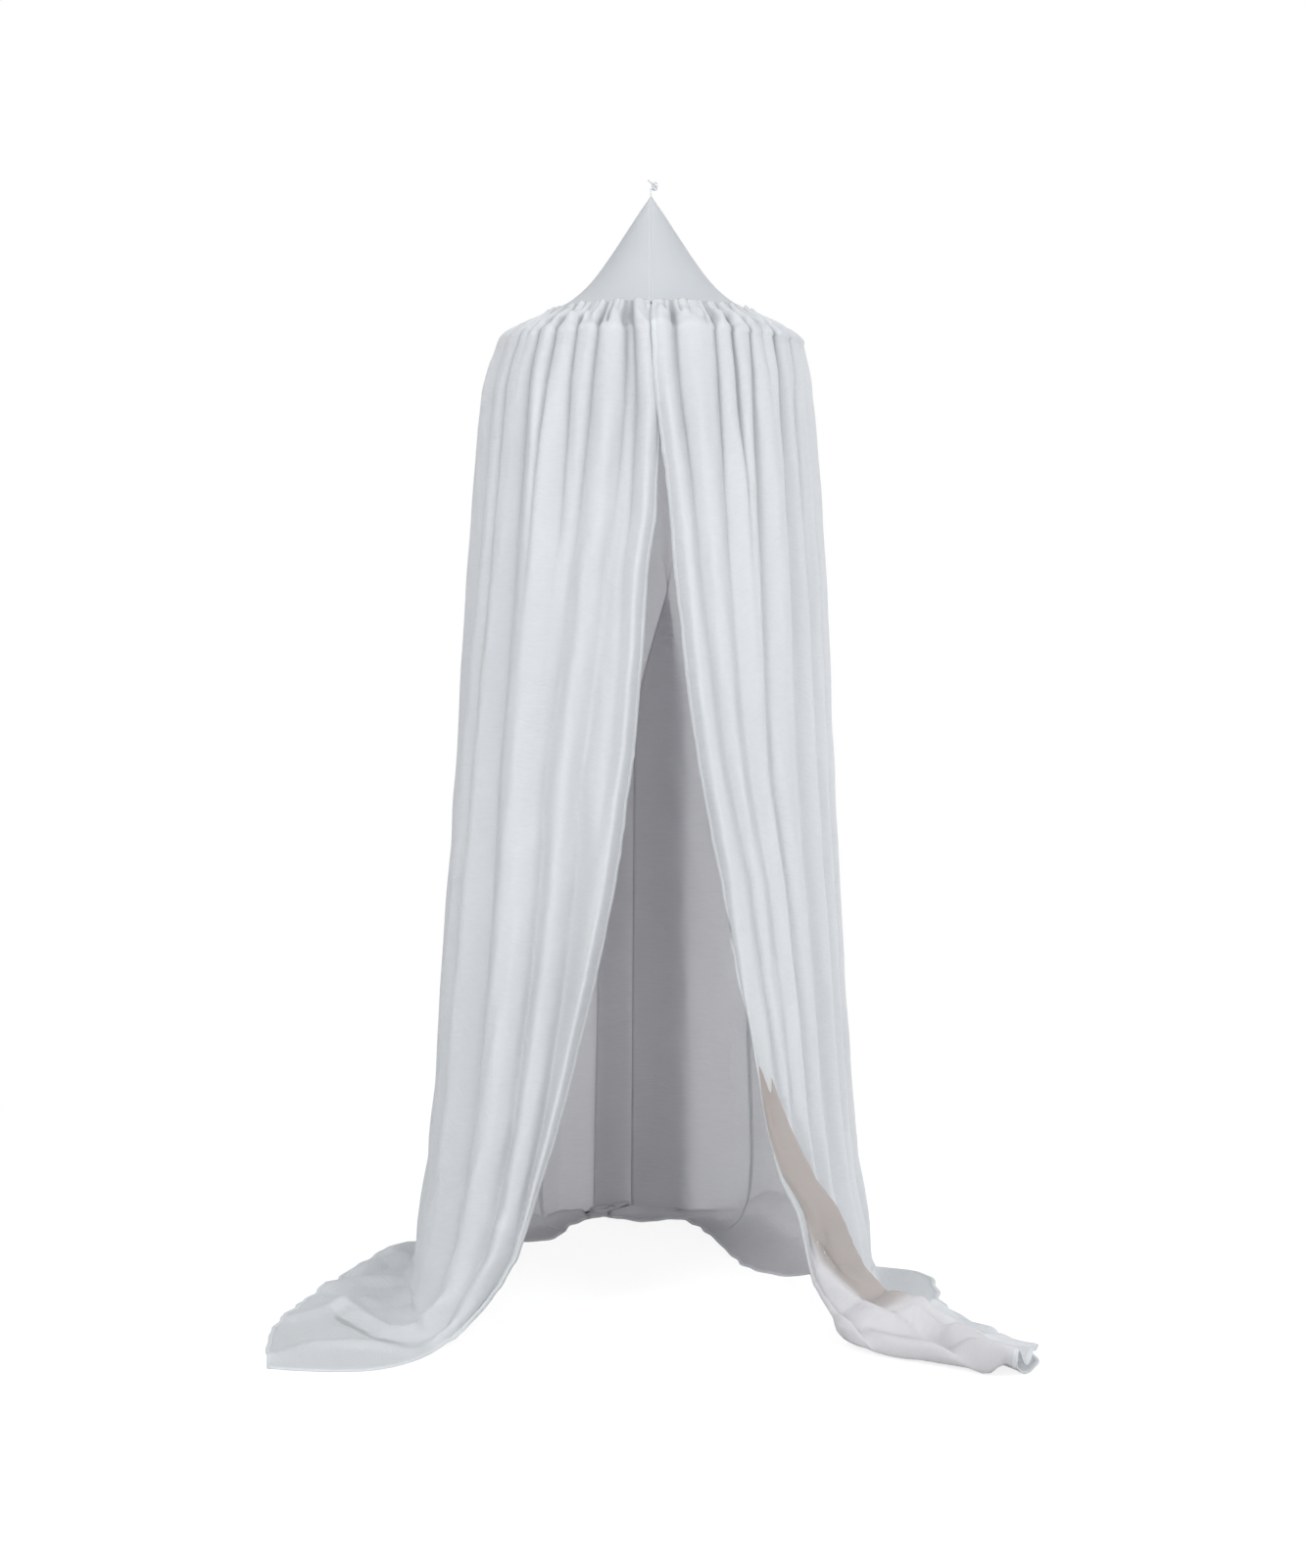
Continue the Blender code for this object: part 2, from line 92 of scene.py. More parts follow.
def around(angle: Array, radius: Array, height: Array) -> Array:
    """Points round the axis, by their angles in degrees, their distances from it and their heights."""
    level = outward(angle) * radius[..., None]
    return np.concatenate([level, np.broadcast_to(height, level.shape[:-1])[..., None]], axis=-1)


def smooth_table(where: Array, knots: Array, values: Array) -> Array:
    """Read a short table of points along a smooth curve.

    Args:
        where: places to read at.
        knots: rising places of the table's rows.
        values: one row of numbers for each knot.

    Returns:
        One row of numbers for each place.
    """
    knots, values = np.asarray(knots, float), np.asarray(values, float)
    slopes = np.gradient(values, knots, axis=0)
    index = np.clip(np.searchsorted(knots, where) - 1, 0, len(knots) - 2)
    span = (knots[index + 1] - knots[index])[:, None]
    share = ((where - knots[index])[:, None] / span).clip(0.0, 1.0)
    rise = share * share * (3.0 - 2.0 * share)
    bend_in = share * (1.0 - share) ** 2 * span
    bend_out = share * share * (share - 1.0) * span
    return (values[index] * (1.0 - rise) + values[index + 1] * rise
            + slopes[index] * bend_in + slopes[index + 1] * bend_out)


def grid_normals(points: Array) -> Array:
    """Unit normals of a grid of points, on the side that its columns and rows turn to."""
    return unit(np.cross(np.gradient(points, axis=1), np.gradient(points, axis=0)))


def unit(rows: Array) -> Array:
    """Rows scaled to length 1."""
    return rows / np.maximum(np.linalg.norm(rows, axis=-1, keepdims=True), 1e-12)


def add_object(name: str, data: bpy.types.ID) -> Piece:
    """Put a mesh, lamp or camera into the scene.

    Args:
        name: name of the object.
        data: what it shows.

    Returns:
        The new object.
    """
    thing = bpy.data.objects.new(name, data)
    bpy.context.scene.collection.objects.link(thing)
    return thing


@dataclass(frozen=True)
class RandomWaves:
    """A smooth random field, the sum of level waves with fixed seeds."""

    seed: int
    length: float = 1.0
    pace: float = 1.0
    spread: float = 0.45
    count: int = 18

    def read(self, across: Array, down: Array) -> Array:
        """Height of the field, about -1 to 1.

        Args:
            across: first coordinate, with a wave in each length.
            down: second coordinate, with as many waves to 1 as the pace says.

        Returns:
            The field at each pair of coordinates.
        """
        across, down = across / self.length, down * self.pace
        source = np.random.default_rng(self.seed)
        total = np.zeros(np.broadcast(across, down).shape)
        for _ in range(self.count):
            turn = source.uniform(0.0, 2.0 * math.pi)
            pace = 2.0 * math.pi * (1.0 + self.spread * source.uniform(-1.0, 1.0))
            phase = source.uniform(0.0, 2.0 * math.pi)
            total += np.sin(pace * (math.cos(turn) * across + math.sin(turn) * down) + phase)
        return total / math.sqrt(self.count / 2.0) / 2.0


class MeshPieces:
    """Turns points and faces into pieces of the scene."""

    strip_powers: Pair = (0.55, 0.75)

    @staticmethod
    def from_faces(name: str, points: Array, faces: list[list[int]], uv: Array,
                   materials: list[Material], slots: Array | None = None) -> Piece:
        """Make an object with its place in its mesh.

        Args:
            name: name of the piece.
            points: one row of x, y, z for each vertex.
            faces: vertex numbers of each face, outwards.
            uv: place on the cloth in metres for each vertex.
            materials: the materials that the faces choose from.
            slots: material number of each face.

        Returns:
            The new object.
        """
        mesh = bpy.data.meshes.new(name)
        mesh.from_pydata(np.asarray(points, float).tolist(), [], faces)
        layer = mesh.uv_layers.new(name="UVMap")
        corners = np.zeros(len(mesh.loops), np.int32)
        mesh.loops.foreach_get("vertex_index", corners)
        layer.data.foreach_set("uv", np.asarray(uv, np.float32)[corners].ravel())
        for material in materials:
            mesh.materials.append(material)
        if slots is not None:
            mesh.polygons.foreach_set("material_index", np.asarray(slots, np.int32))
        mesh.shade_smooth()
        mesh.update()
        return add_object(name, mesh)

    @staticmethod
    def cloth(name: str, points: Array, uv: Array, thickness: float,
              outside: Material, inside: Material) -> Piece:
        """Make a closed sheet of cloth around a grid of points.

        Args:
            name: name of the piece.
            points: grid of points, rows down and columns to the left as seen from outside.
            uv: grid of places on the flat cloth, in metres.
            thickness: thickness of the cloth.
            outside: material of the outer side and the edges.
            inside: material of the inner side.

        Returns:
            The new object.
        """
        rows, columns = points.shape[:2]
        offset = grid_normals(points) * thickness / 2
        vertices = np.concatenate([(points + offset).reshape(-1, 3), (points - offset).reshape(-1, 3)])
        number = np.arange(rows * columns).reshape(rows, columns)
        outer = np.stack([number[:-1, :-1], number[:-1, 1:], number[1:, 1:], number[1:, :-1]], -1)
        outer = outer.reshape(-1, 4)
        inner = outer[:, ::-1] + rows * columns
        border = np.concatenate([number[0, :], number[1:, -1], number[-1, -2::-1], number[-2::-1, 0]])
        rim = np.stack([border[1:], border[:-1], border[:-1] + rows * columns,
                        border[1:] + rows * columns], -1)
        faces = np.concatenate([outer, inner, rim])
        slots = np.concatenate([np.zeros(len(outer)), np.ones(len(inner)), np.zeros(len(rim))])
        both = np.concatenate([uv.reshape(-1, 2)] * 2)
        return MeshPieces.from_faces(name, vertices, faces.tolist(), both, [outside, inside], slots)

    @staticmethod
    def strip(name: str, centre: Array, across: Array, lift: Array, width: float,
              thickness: float, material: Material, sides: int = 10) -> Piece:
        """Make a rounded flat strip along a path, such as a hem or a felled seam.

        Args:
            name: name of the piece.
            centre: points along the strip's middle.
            across: unit vectors over its width.
            lift: unit vectors over its thickness.
            width: width of the strip.
            thickness: thickness of the strip.
            material: finish of the strip.
            sides: points round its section.

        Returns:
            The new object.
        """
        turn = np.linspace(0.0, 2.0 * math.pi, sides, endpoint=False) + math.pi / sides
        wide, high = (np.sign(part) * np.abs(part) ** power
                      for part, power in zip((np.cos(turn), np.sin(turn)), MeshPieces.strip_powers))
        flat, high = wide * width / 2, high * thickness / 2
        points = (centre[:, None] + across[:, None] * flat[None, :, None]
                  + lift[:, None] * high[None, :, None])
        along = path_length(centre)
        uv = np.stack(np.broadcast_arrays(flat[None, :], along[:, None]), -1)
        return MeshPieces.tube(name, points, uv, material)

    @staticmethod
    def tube(name: str, rings: Array, uv: Array, material: Material) -> Piece:
        """Join rings of points into a closed tube with filled ends.

        Args:
            name: name of the piece.
            rings: rings of points along the tube.
            uv: place on the surface for each point.
            material: finish of the tube.

        Returns:
            The new object.
        """
        count, sides = rings.shape[:2]
        number = np.arange(count * sides).reshape(count, sides)
        after = np.roll(number, -1, axis=1)
        quads = np.stack([number[:-1], number[1:], after[1:], after[:-1]], -1).reshape(-1, 4)
        faces = quads.tolist() + [number[0].tolist(), number[-1, ::-1].tolist()]
        piece = MeshPieces.from_faces(name, rings.reshape(-1, 3), faces, uv.reshape(-1, 2), [material])
        MeshPieces.face_outwards(piece)
        return piece

    @staticmethod
    def face_outwards(piece: Piece) -> None:
        """Turn a closed piece's faces outwards where its volume says that they point in.

        Args:
            piece: closed piece.
        """
        mesh = piece.data
        mesh.calc_loop_triangles()
        corners = np.zeros(len(mesh.loop_triangles) * 3, np.int32)
        mesh.loop_triangles.foreach_get("vertices", corners)
        places = np.zeros(len(mesh.vertices) * 3, np.float32)
        mesh.vertices.foreach_get("co", places)
        a, b, c = places.reshape(-1, 3)[corners].reshape(-1, 3, 3).transpose(1, 0, 2)
        if np.einsum("ij,ij->i", a, np.cross(b, c)).sum() < 0.0:
            mesh.flip_normals()


def path_length(path: Array) -> Array:
    """Length from the start of a path to each of its points."""
    steps = np.linalg.norm(np.diff(path, axis=0), axis=1)
    return np.concatenate([[0.0], np.cumsum(steps)])


class NodeBench:
    """Short way to add and join the nodes of one tree."""

    def __init__(self, tree: bpy.types.NodeTree) -> None:
        """Work on a tree, emptied first."""
        self.tree = tree
        tree.nodes.clear()

    def add(self, kind: str, inputs: Inputs | None = None, **settings: object) -> bpy.types.Node:
        """Add a node.

        Args:
            kind: the node's type name.
            inputs: value or socket for each input, by name or number.
            settings: properties of the node.

        Returns:
            The new node.
        """
        node = self.tree.nodes.new(kind)
        for name, value in settings.items():
            setattr(node, name, value)
        for key, value in (inputs or {}).items():
            if isinstance(value, Socket):
                self.tree.links.new(value, node.inputs[key])
            else:
                node.inputs[key].default_value = value
        return node

    def first(self, kind: str, inputs: Inputs | None = None, **settings: object) -> Socket:
        """First output of a new node."""
        return self.add(kind, inputs, **settings).outputs[0]

    def maths(self, operation: str, *values: Value) -> Socket:
        """Result of a Math node on numbers or sockets."""
        return self.first("ShaderNodeMath", dict(enumerate(values)), operation=operation)

    def times(self, *values: Value) -> Socket:
        """Product of two numbers or sockets."""
        return self.maths("MULTIPLY", *values)

    def less(self, *values: Value) -> Socket:
        """Difference of two numbers or sockets."""
        return self.maths("SUBTRACT", *values)

    def mix(self, share: Value, first: Value, second: Value) -> Socket:
        """Colour between two colours or sockets."""
        return self.add("ShaderNodeMix", {0: share, 6: first, 7: second}, data_type="RGBA").outputs[2]

    def mark(self, name: str) -> Socket:
        """A value that the mesh holds at each point."""
        return self.add("ShaderNodeAttribute", attribute_name=name).outputs["Fac"]

    def flat_place(self) -> Socket:
        """Place on the flat cloth or along the yarn."""
        return self.first("ShaderNodeUVMap", uv_map="UVMap")

    def drift(self, scale: float, detail: float) -> Socket:
        """Noise over the whole piece, by its blobs in a metre and its octaves."""
        place = self.add("ShaderNodeTexCoord").outputs["Object"]
        return self.first("ShaderNodeTexNoise", {"Vector": place, "Scale": scale, "Detail": detail})

    def cloth_noise(self, size: Pair, detail: float, roughness: float = 0.55) -> Socket:
        """Noise on the flat cloth.

        Args:
            size: width and height of its blobs in metres.
            detail: octaves of the noise.
            roughness: strength of the finer octaves.

        Returns:
            The noise's value.
        """
        scale = (1.0 / size[0], 1.0 / size[1], 1.0)
        turned = self.first("ShaderNodeMapping", {"Vector": self.flat_place(), "Scale": scale})
        grain = {"Vector": turned, "Scale": 1.0, "Detail": detail, "Roughness": roughness}
        return self.add("ShaderNodeTexNoise", grain, noise_dimensions="2D").outputs["Fac"]

    def threads(self, pitch: float, direction: str, wander: float, detail: float | None = None) -> Socket:
        """Even threads across the flat cloth.

        Args:
            pitch: distance of the threads in metres.
            direction: which way they follow each other.
            wander: how uneven they run.
            detail: octaves of their unevenness, coarser ones where it is given.

        Returns:
            The threads' height.
        """
        pace = {"Vector": self.flat_place(), "Scale": 1.0 / pitch / 3.0, "Distortion": wander}
        if detail is not None:
            pace |= {"Detail": detail, "Detail Scale": 2.0}
        return self.add("ShaderNodeTexWave", pace, bands_direction=direction).outputs["Fac"]

    def bump(self, height: Socket, strength: float, depth: float) -> Socket:
        """Normals of a surface that is as rough as its height says."""
        return self.first("ShaderNodeBump", {"Strength": strength, "Distance": depth, "Height": height})

    def body(self, paint: Socket, normal: Socket, roughness: float, gloss: Gloss) -> Socket:
        """Opaque shader.

        Args:
            paint: its colour.
            normal: its normals.
            roughness: its roughness.
            gloss: its mirror level, its sheen and the sheen's roughness.

        Returns:
            The shader.
        """
        return self.first("ShaderNodeBsdfPrincipled", {
            "Base Color": paint, "Roughness": roughness, "Normal": normal,
            "Specular IOR Level": gloss[0], "Sheen Weight": gloss[1], "Sheen Roughness": gloss[2],
        })

    def group(self, numbers: tuple[str, ...]) -> dict[str, Socket]:
        """Give a node group its sockets: geometry, named numbers and a material in, geometry out.

        Args:
            numbers: names of the inputs that are numbers.

        Returns:
            The group's inputs.
        """
        kinds = {"Geometry": "Geometry", **dict.fromkeys(numbers, "Float"), "Material": "Material"}
        for name, kind in kinds.items():
            self.tree.interface.new_socket(name, in_out="INPUT", socket_type="NodeSocket" + kind)
        self.tree.interface.new_socket("Geometry", in_out="OUTPUT", socket_type="NodeSocketGeometry")
        return self.add("NodeGroupInput").outputs

    def close_group(self, shape: Socket, material: Socket) -> None:
        """Smooth a shape, make its instances real, set its material and give it out.

        Args:
            shape: the shape.
            material: its material.
        """
        smooth = self.first("GeometryNodeSetShadeSmooth", {"Geometry": shape})
        real = self.first("GeometryNodeRealizeInstances", {"Geometry": smooth})
        dressed = self.first("GeometryNodeSetMaterial", {"Geometry": real, "Material": material})
        self.add("NodeGroupOutput", {0: dressed})


@dataclass(frozen=True)
class Finish:
    """A material, built from its subclass's surface."""

    name: str
    colour: Colour

    def material(self) -> Material:
        """Build the material.

        Returns:
            The new material.
        """
        material = bpy.data.materials.new(self.name)
        material.use_nodes = True
        bench = NodeBench(material.node_tree)
        bench.add("ShaderNodeOutputMaterial", {"Surface": self.surface(bench)})
        return material

    def surface(self, bench: NodeBench) -> Socket:
        """Shader of the finish, made on a bench."""
        raise NotImplementedError

    def tinted(self, factor: float, shade: Colour = (1.0, 1.0, 1.0)) -> tuple[float, ...]:
        """The finish's colour times a factor and a shade."""
        return (*(part * factor * tint for part, tint in zip(self.colour, shade)), 1.0)


@dataclass(frozen=True)
class GauzeFinish(Finish):
    """Double gauze: two thin layers caught together, so that it puckers in short level creases."""

    # Painted shade, darker and warmer, for the turned-back lapel, where one is given.
    lapel_shade_colour: Colour | None = None
    crease_size: Pair = (0.022, 0.0042)
    crease_detail: float = 3.0
    crease_depth: float = 0.0011
    pucker_size: Pair = (0.010, 0.008)
    pucker_detail: float = 2.0
    pucker_share: float = 0.5
    thread_pitch: float = 0.0011
    thread_wander: float = 0.6
    thread_share: float = 0.12
    drift: Pair = (3.0, 2.0)
    # Random tone plus painted shade: the crinkle's grooves are painted darker.
    groove_shade_tone: float = 0.7
    tone_range: Pair = (0.55, 1.15)
    tone: float = 0.035
    light_tone: float = 0.6
    # Painted shade: how much darker, and in what shade colour, the gauze is painted deep in its creases.
    cavity_tone: float = 0.46
    cavity_shade: Colour = (0.30, 0.31, 0.33)
    bump_strength: float = 0.55
    roughness: float = 0.92
    gloss: Gloss = (0.2, 0.12, 0.5)
    light_through: float = 0.52

    def surface(self, bench: NodeBench) -> Socket:
        """Shader of the gauze, which lets part of the light through, with painted shade in its creases and
        on the turned-back lapel.

        Args:
            bench: the material's nodes.

        Returns:
            The shader.
        """
        crease = bench.cloth_noise(self.crease_size, self.crease_detail)
        pucker = bench.cloth_noise(self.pucker_size, self.pucker_detail)
        height = bench.maths("MULTIPLY_ADD", pucker, self.pucker_share, crease)
        weave = bench.times(*(bench.threads(self.thread_pitch, way, self.thread_wander) for way in "XY"))
        height = bench.maths("MULTIPLY_ADD", weave, self.thread_share, height)
        # Random tone from the drift plus painted shade that darkens the crinkle's grooves.
        tone = bench.maths("MULTIPLY_ADD", crease, self.groove_shade_tone, bench.drift(*self.drift))
        low, high = self.tone_range
        share = bench.first("ShaderNodeMapRange", {0: tone, 1: low, 2: high}, clamp=True)
        light = self.tinted(1.0 + self.tone * self.light_tone)
        paint = bench.mix(share, self.tinted(1.0 - self.tone), light)
        # Painted shade: the colour darkens deep in the gathers' creases, where shade falls.
        crease_shade_share = bench.times(bench.mark("cavity"), self.cavity_tone)
        paint = bench.mix(crease_shade_share, paint, self.tinted(1.0, self.cavity_shade))
        # Painted shade, darker and warmer, on the turned-back lapel.
        if self.lapel_shade_colour:
            paint = bench.mix(bench.mark("painted_lapel_shade"), paint, (*self.lapel_shade_colour, 1.0))
        normal = bench.bump(height, self.bump_strength, self.crease_depth)
        shader = bench.body(paint, normal, self.roughness, self.gloss)
        through = bench.first("ShaderNodeBsdfTranslucent", {"Color": paint, "Normal": normal})
        return bench.first("ShaderNodeMixShader", {0: self.light_through, 1: shader, 2: through})


@dataclass(frozen=True)
class KnitFinish(Finish):
    """Jersey: fine upright ribs of stitches, smooth to look at."""

    rib_pitch: float = 0.0013
    rib_wander: float = 1.0
    rib_detail: float = 1.0
    course_share: float = 0.4
    drift: Pair = (9.0, 3.0)
    tone: float = 0.02
    bump_strength: float = 0.35
    depth: float = 0.0003
    roughness: float = 0.85
    gloss: Gloss = (0.25, 0.15, 0.4)

    def surface(self, bench: NodeBench) -> Socket:
        """Shader of the jersey.

        Args:
            bench: the material's nodes.

        Returns:
            The shader.
        """
        rib, course = (bench.threads(self.rib_pitch, way, self.rib_wander, self.rib_detail) for way in "XY")
        height = bench.maths("MULTIPLY_ADD", course, self.course_share, rib)
        tone = bench.drift(*self.drift)
        paint = bench.mix(tone, self.tinted(1.0 - self.tone), self.tinted(1.0 + self.tone))
        normal = bench.bump(height, self.bump_strength, self.depth)
        return bench.body(paint, normal, self.roughness, self.gloss)


@dataclass(frozen=True)
class YarnFinish(Finish):
    """Cord, tape or thread with a twist that runs round it."""

    twist_pitch: float = 0.0024
    twist_wander: float = 0.4
    dark: float = 0.93
    bump_strength: float = 0.6
    depth: float = 0.0003
    roughness: float = 0.85
    gloss: Gloss = (0.25, 0.1, 0.5)

    def surface(self, bench: NodeBench) -> Socket:
        """Shader of the yarn.

        Args:
            bench: the material's nodes.

        Returns:
            The shader.
        """
        twist = bench.threads(self.twist_pitch, "DIAGONAL", self.twist_wander)
        paint = bench.mix(twist, self.tinted(self.dark), self.tinted(1.0))
        normal = bench.bump(twist, self.bump_strength, self.depth)
        return bench.body(paint, normal, self.roughness, self.gloss)


@dataclass(frozen=True)
class PlasticFinish(Finish):
    """Drawn or moulded plastic with faint drawing marks."""

    roughness: float = 0.45
    marks: Pair = (260.0, 2.0)
    dark: float = 0.95
    bump_strength: float = 0.15
    depth: float = 0.0002
    gloss: Gloss = (0.5, 0.0, 0.5)

    def surface(self, bench: NodeBench) -> Socket:
        """Shader of the plastic.

        Args:
            bench: the material's nodes.

        Returns:
            The shader.
        """
        marks = bench.drift(*self.marks)
        paint = bench.mix(marks, self.tinted(self.dark), self.tinted(1.0))
        normal = bench.bump(marks, self.bump_strength, self.depth)
        return bench.body(paint, normal, self.roughness, self.gloss)


@dataclass
class Finishes:
    """Every material of the canopy, made once."""

    gauze_colour: Colour = (0.82, 0.84, 0.855)
    # Painted shade: the inside face of the same gauze, darker and more purple, as it looks in the canopy's
    # shade.
    shaded_inside_colour: Colour = (0.785, 0.775, 0.79)
    # Painted shade: the turned-back lapel is painted darker and warmer, as it looks in shade.
    lapel_shade_colour: Colour = (0.55, 0.505, 0.485)
    # Painted highlight: hems and seams are painted lighter, as their rolled edges catch the light.
    hem_highlight: float = 1.04
    hem_crease: Pair = (0.004, 0.006)
    jersey_colour: Colour = (0.46, 0.48, 0.50)
    jersey_back_colour: Colour = (0.56, 0.585, 0.60)
    tape_colour: Colour = (0.66, 0.68, 0.69)
    tape_twist: float = 0.0015
    cord_colour: Colour = (0.62, 0.65, 0.675)
    thread_colour: Colour = (0.78, 0.80, 0.81)
    thread_twist: float = 0.0006
    thread_depth: float = 0.00008
    tube_colour: Colour = (0.78, 0.78, 0.76)
    joiner_colour: Colour = (0.55, 0.56, 0.57)
    joiner_roughness: float = 0.5

    def __post_init__(self) -> None:
        """Build the materials."""
        self.gauze = GauzeFinish("gauze_outside", self.gauze_colour).material()
        # The inside face gets the painted shade colour and the lapel's painted shade.
        self.shaded_inside = GauzeFinish("gauze_inside_shaded", self.shaded_inside_colour, self.lapel_shade_colour).material()
        # Painted highlight: the hem colour is the gauze lightened.
        hem_colour = tuple(min(1.0, part * self.hem_highlight) for part in self.gauze_colour)
        self.hem = GauzeFinish("gauze_hem", hem_colour, crease_size=self.hem_crease).material()
        self.jersey = KnitFinish("jersey_outside", self.jersey_colour).material()
        self.jersey_back = KnitFinish("jersey_inside", self.jersey_back_colour).material()
        self.tape = YarnFinish("gather_tape", self.tape_colour, self.tape_twist).material()
        self.cord = YarnFinish("hanging_cord", self.cord_colour).material()
        self.thread = YarnFinish("sewing_thread", self.thread_colour, self.thread_twist,
                                 depth=self.thread_depth).material()
        self.tube = PlasticFinish("hoop_tube", self.tube_colour).material()
        self.joiner = PlasticFinish("hoop_joiner", self.joiner_colour, self.joiner_roughness).material()


@dataclass(frozen=True)
class CanopySizes:
    """Main sizes, the same as the frame's."""

    floor_drop: float = 1.760
    tip_drop: float = 0.012
    seam_drop: float = 0.204
    hoop_drop: float = 0.257
    seam_radius: float = 0.166
    hoop_radius: float = 0.235
    channel_radius: float = 0.0064
    cord_diameter: float = 0.0030
    cloth: float = 0.0012
    cloth_play: float = 0.0012
    seam_gap: float = 0.0016
    seam_rise: float = 0.0020

    @property
    def wrap_radius(self) -> float:
        """Radius of the cloth's middle round the hoop's channel."""
        return self.channel_radius + self.cloth_play + self.cloth / 2


@dataclass
class Envelope:
    """The curtain's inner side without its folds: where the cloth falls, touches down and runs out."""

    sizes: CanopySizes
    side_reach: Pair = (0.348, 0.324)
    back_reach: float = 0.325
    left_corner: Pair = (0.280, 0.345)
    right_corner: Pair = (0.250, 0.360)
    corner_angle: float = 80.0
    left_straightness: float = 0.0
    right_straightness: float = 0.40
    straight_from: float = 70.0
    left_bow: Pair = (0.050, -0.100)
    bow_angle: float = 60.0
    touch_round: float = 0.035
    touch_reach: float = 0.140
    corner_round: float = 0.080
    corner_reach: float = 0.260
    slope_steps: int = 14
    bend_steps: int = 10
    heading_rows: int = 24
    fall_rows: int = 90
    floor_rows: int = 40
    columns: int = 480
    leaf_corner: Ramp = (300.0, 35.0)
    wall_corner: tuple[Ramp, Ramp] = ((205.0, 18.0), (276.0, -18.0))
    wall_share: float = 2.4
    hem_rows: tuple[tuple[int, int, int], ...] = (  # angle, x and y in millimetres
        (0, -546, -447), (22, -566, -300), (45, -550, -200), (68, -520, -100), (90, -478, 0),
        (108, -425, 130), (120, -320, 180), (130, -215, 165), (142, -158, 200), (152, -135, 270),
        (166, -85, 318), (180, -10, 285), (192, 45, 305), (205, 85, 250), (217, 108, 175), (228, 135, 87),
        (242, 168, 13), (253, 230, -20), (262, 330, 30), (272, 432, 0), (292, 452, -150), (302, 470, -210),
        (315, 510, -290), (330, 556, -405), (345, 505, -508), (360, 450, -590),
    )

    def __post_init__(self) -> None:
        """Build the grid and its normals."""
        self.angles = np.linspace(0.0, 360.0, self.columns + 1)
        self.grid = self.build()
        self.normals = grid_normals(self.grid)

    def heading_profile(self) -> Array:
        """Radius and height from the crown's seam over the hoop to its side.

        Returns:
            One row of radius and height for each step.
        """
        wrap = self.sizes.wrap_radius
        seam = Vector((self.sizes.seam_radius + self.sizes.seam_gap,
                       -self.sizes.seam_drop + self.sizes.seam_rise))
        hoop = Vector((self.sizes.hoop_radius, -self.sizes.hoop_drop))
        line = hoop - seam
        slope = math.atan2(line.y, line.x) + math.asin(wrap / line.length)
        run = math.sqrt(line.length ** 2 - wrap ** 2)
        along = Vector((math.cos(slope), math.sin(slope)))
        straight = [seam + along * run * share for share in np.linspace(0.0, 1.0, self.slope_steps)]
        turns = np.linspace(slope + math.pi / 2, 0.0, self.bend_steps)[1:]
        bend = [hoop + Vector((math.cos(turn), math.sin(turn))) * wrap for turn in turns]
        corners = np.array([tuple(point) for point in straight + bend])
        along_path = path_length(corners)
        even = np.linspace(0.0, along_path[-1], self.heading_rows + 1)
        return np.column_stack([np.interp(even, along_path, corners[:, part]) for part in (0, 1)])

    def from_front(self) -> Array:
        """Angle of each column to the doorway, the same on both sides."""
        return np.minimum(self.angles, 360.0 - self.angles)

    def touch_points(self) -> Array:
        """Where the curtain meets the floor: an oval, drawn apart at the doorway's corners.

        Returns:
            One row of x and y for each column.
        """
        turn = np.radians(self.angles)
        left = self.angles < 180.0
        corner_x = np.where(left, self.left_corner[0], self.right_corner[0])
        corner_y = np.where(left, self.left_corner[1], self.right_corner[1])
        side = np.abs(np.sin(turn))
        reach = np.where(left, self.side_reach[0], self.side_reach[1])
        reach_x = np.where(np.cos(turn) > 0.0, corner_x + (reach - corner_x) * side, reach * side)
        pull = (corner_y - self.back_reach) * (1.0 - ease(self.from_front() / self.corner_angle))
        return np.stack([np.where(left, -reach_x, reach_x), -self.back_reach * np.cos(turn) - pull], -1)

    def rounded(self, path: Array, angle: float) -> Array:
        """Round one column where it meets the floor, most at the right leaf and the wall behind it.

        Args:
            path: points down the column.
            angle: the column's angle.

        Returns:
            The rounded points.
        """
        enter, leave = (ramp(np.array(angle), *part) for part in self.wall_corner)
        corner = ramp(np.array(angle), *self.leaf_corner) + self.wall_share * (enter * leave)
        size = self.touch_round + (self.corner_round - self.touch_round) * corner
        reach = self.touch_reach + (self.corner_reach - self.touch_reach) * corner
        along = path_length(path)
        near = np.exp(-((along[:, None] - along[None]) / size) ** 2 / 2) * np.gradient(along)
        soft = (near / near.sum(axis=1, keepdims=True)) @ path
        share = np.exp(-((along - along[self.fall_rows]) / reach) ** 4)
        share *= ease((along[-1] - along) / (self.touch_reach / 2))
        return path + (soft - path) * share[:, None]

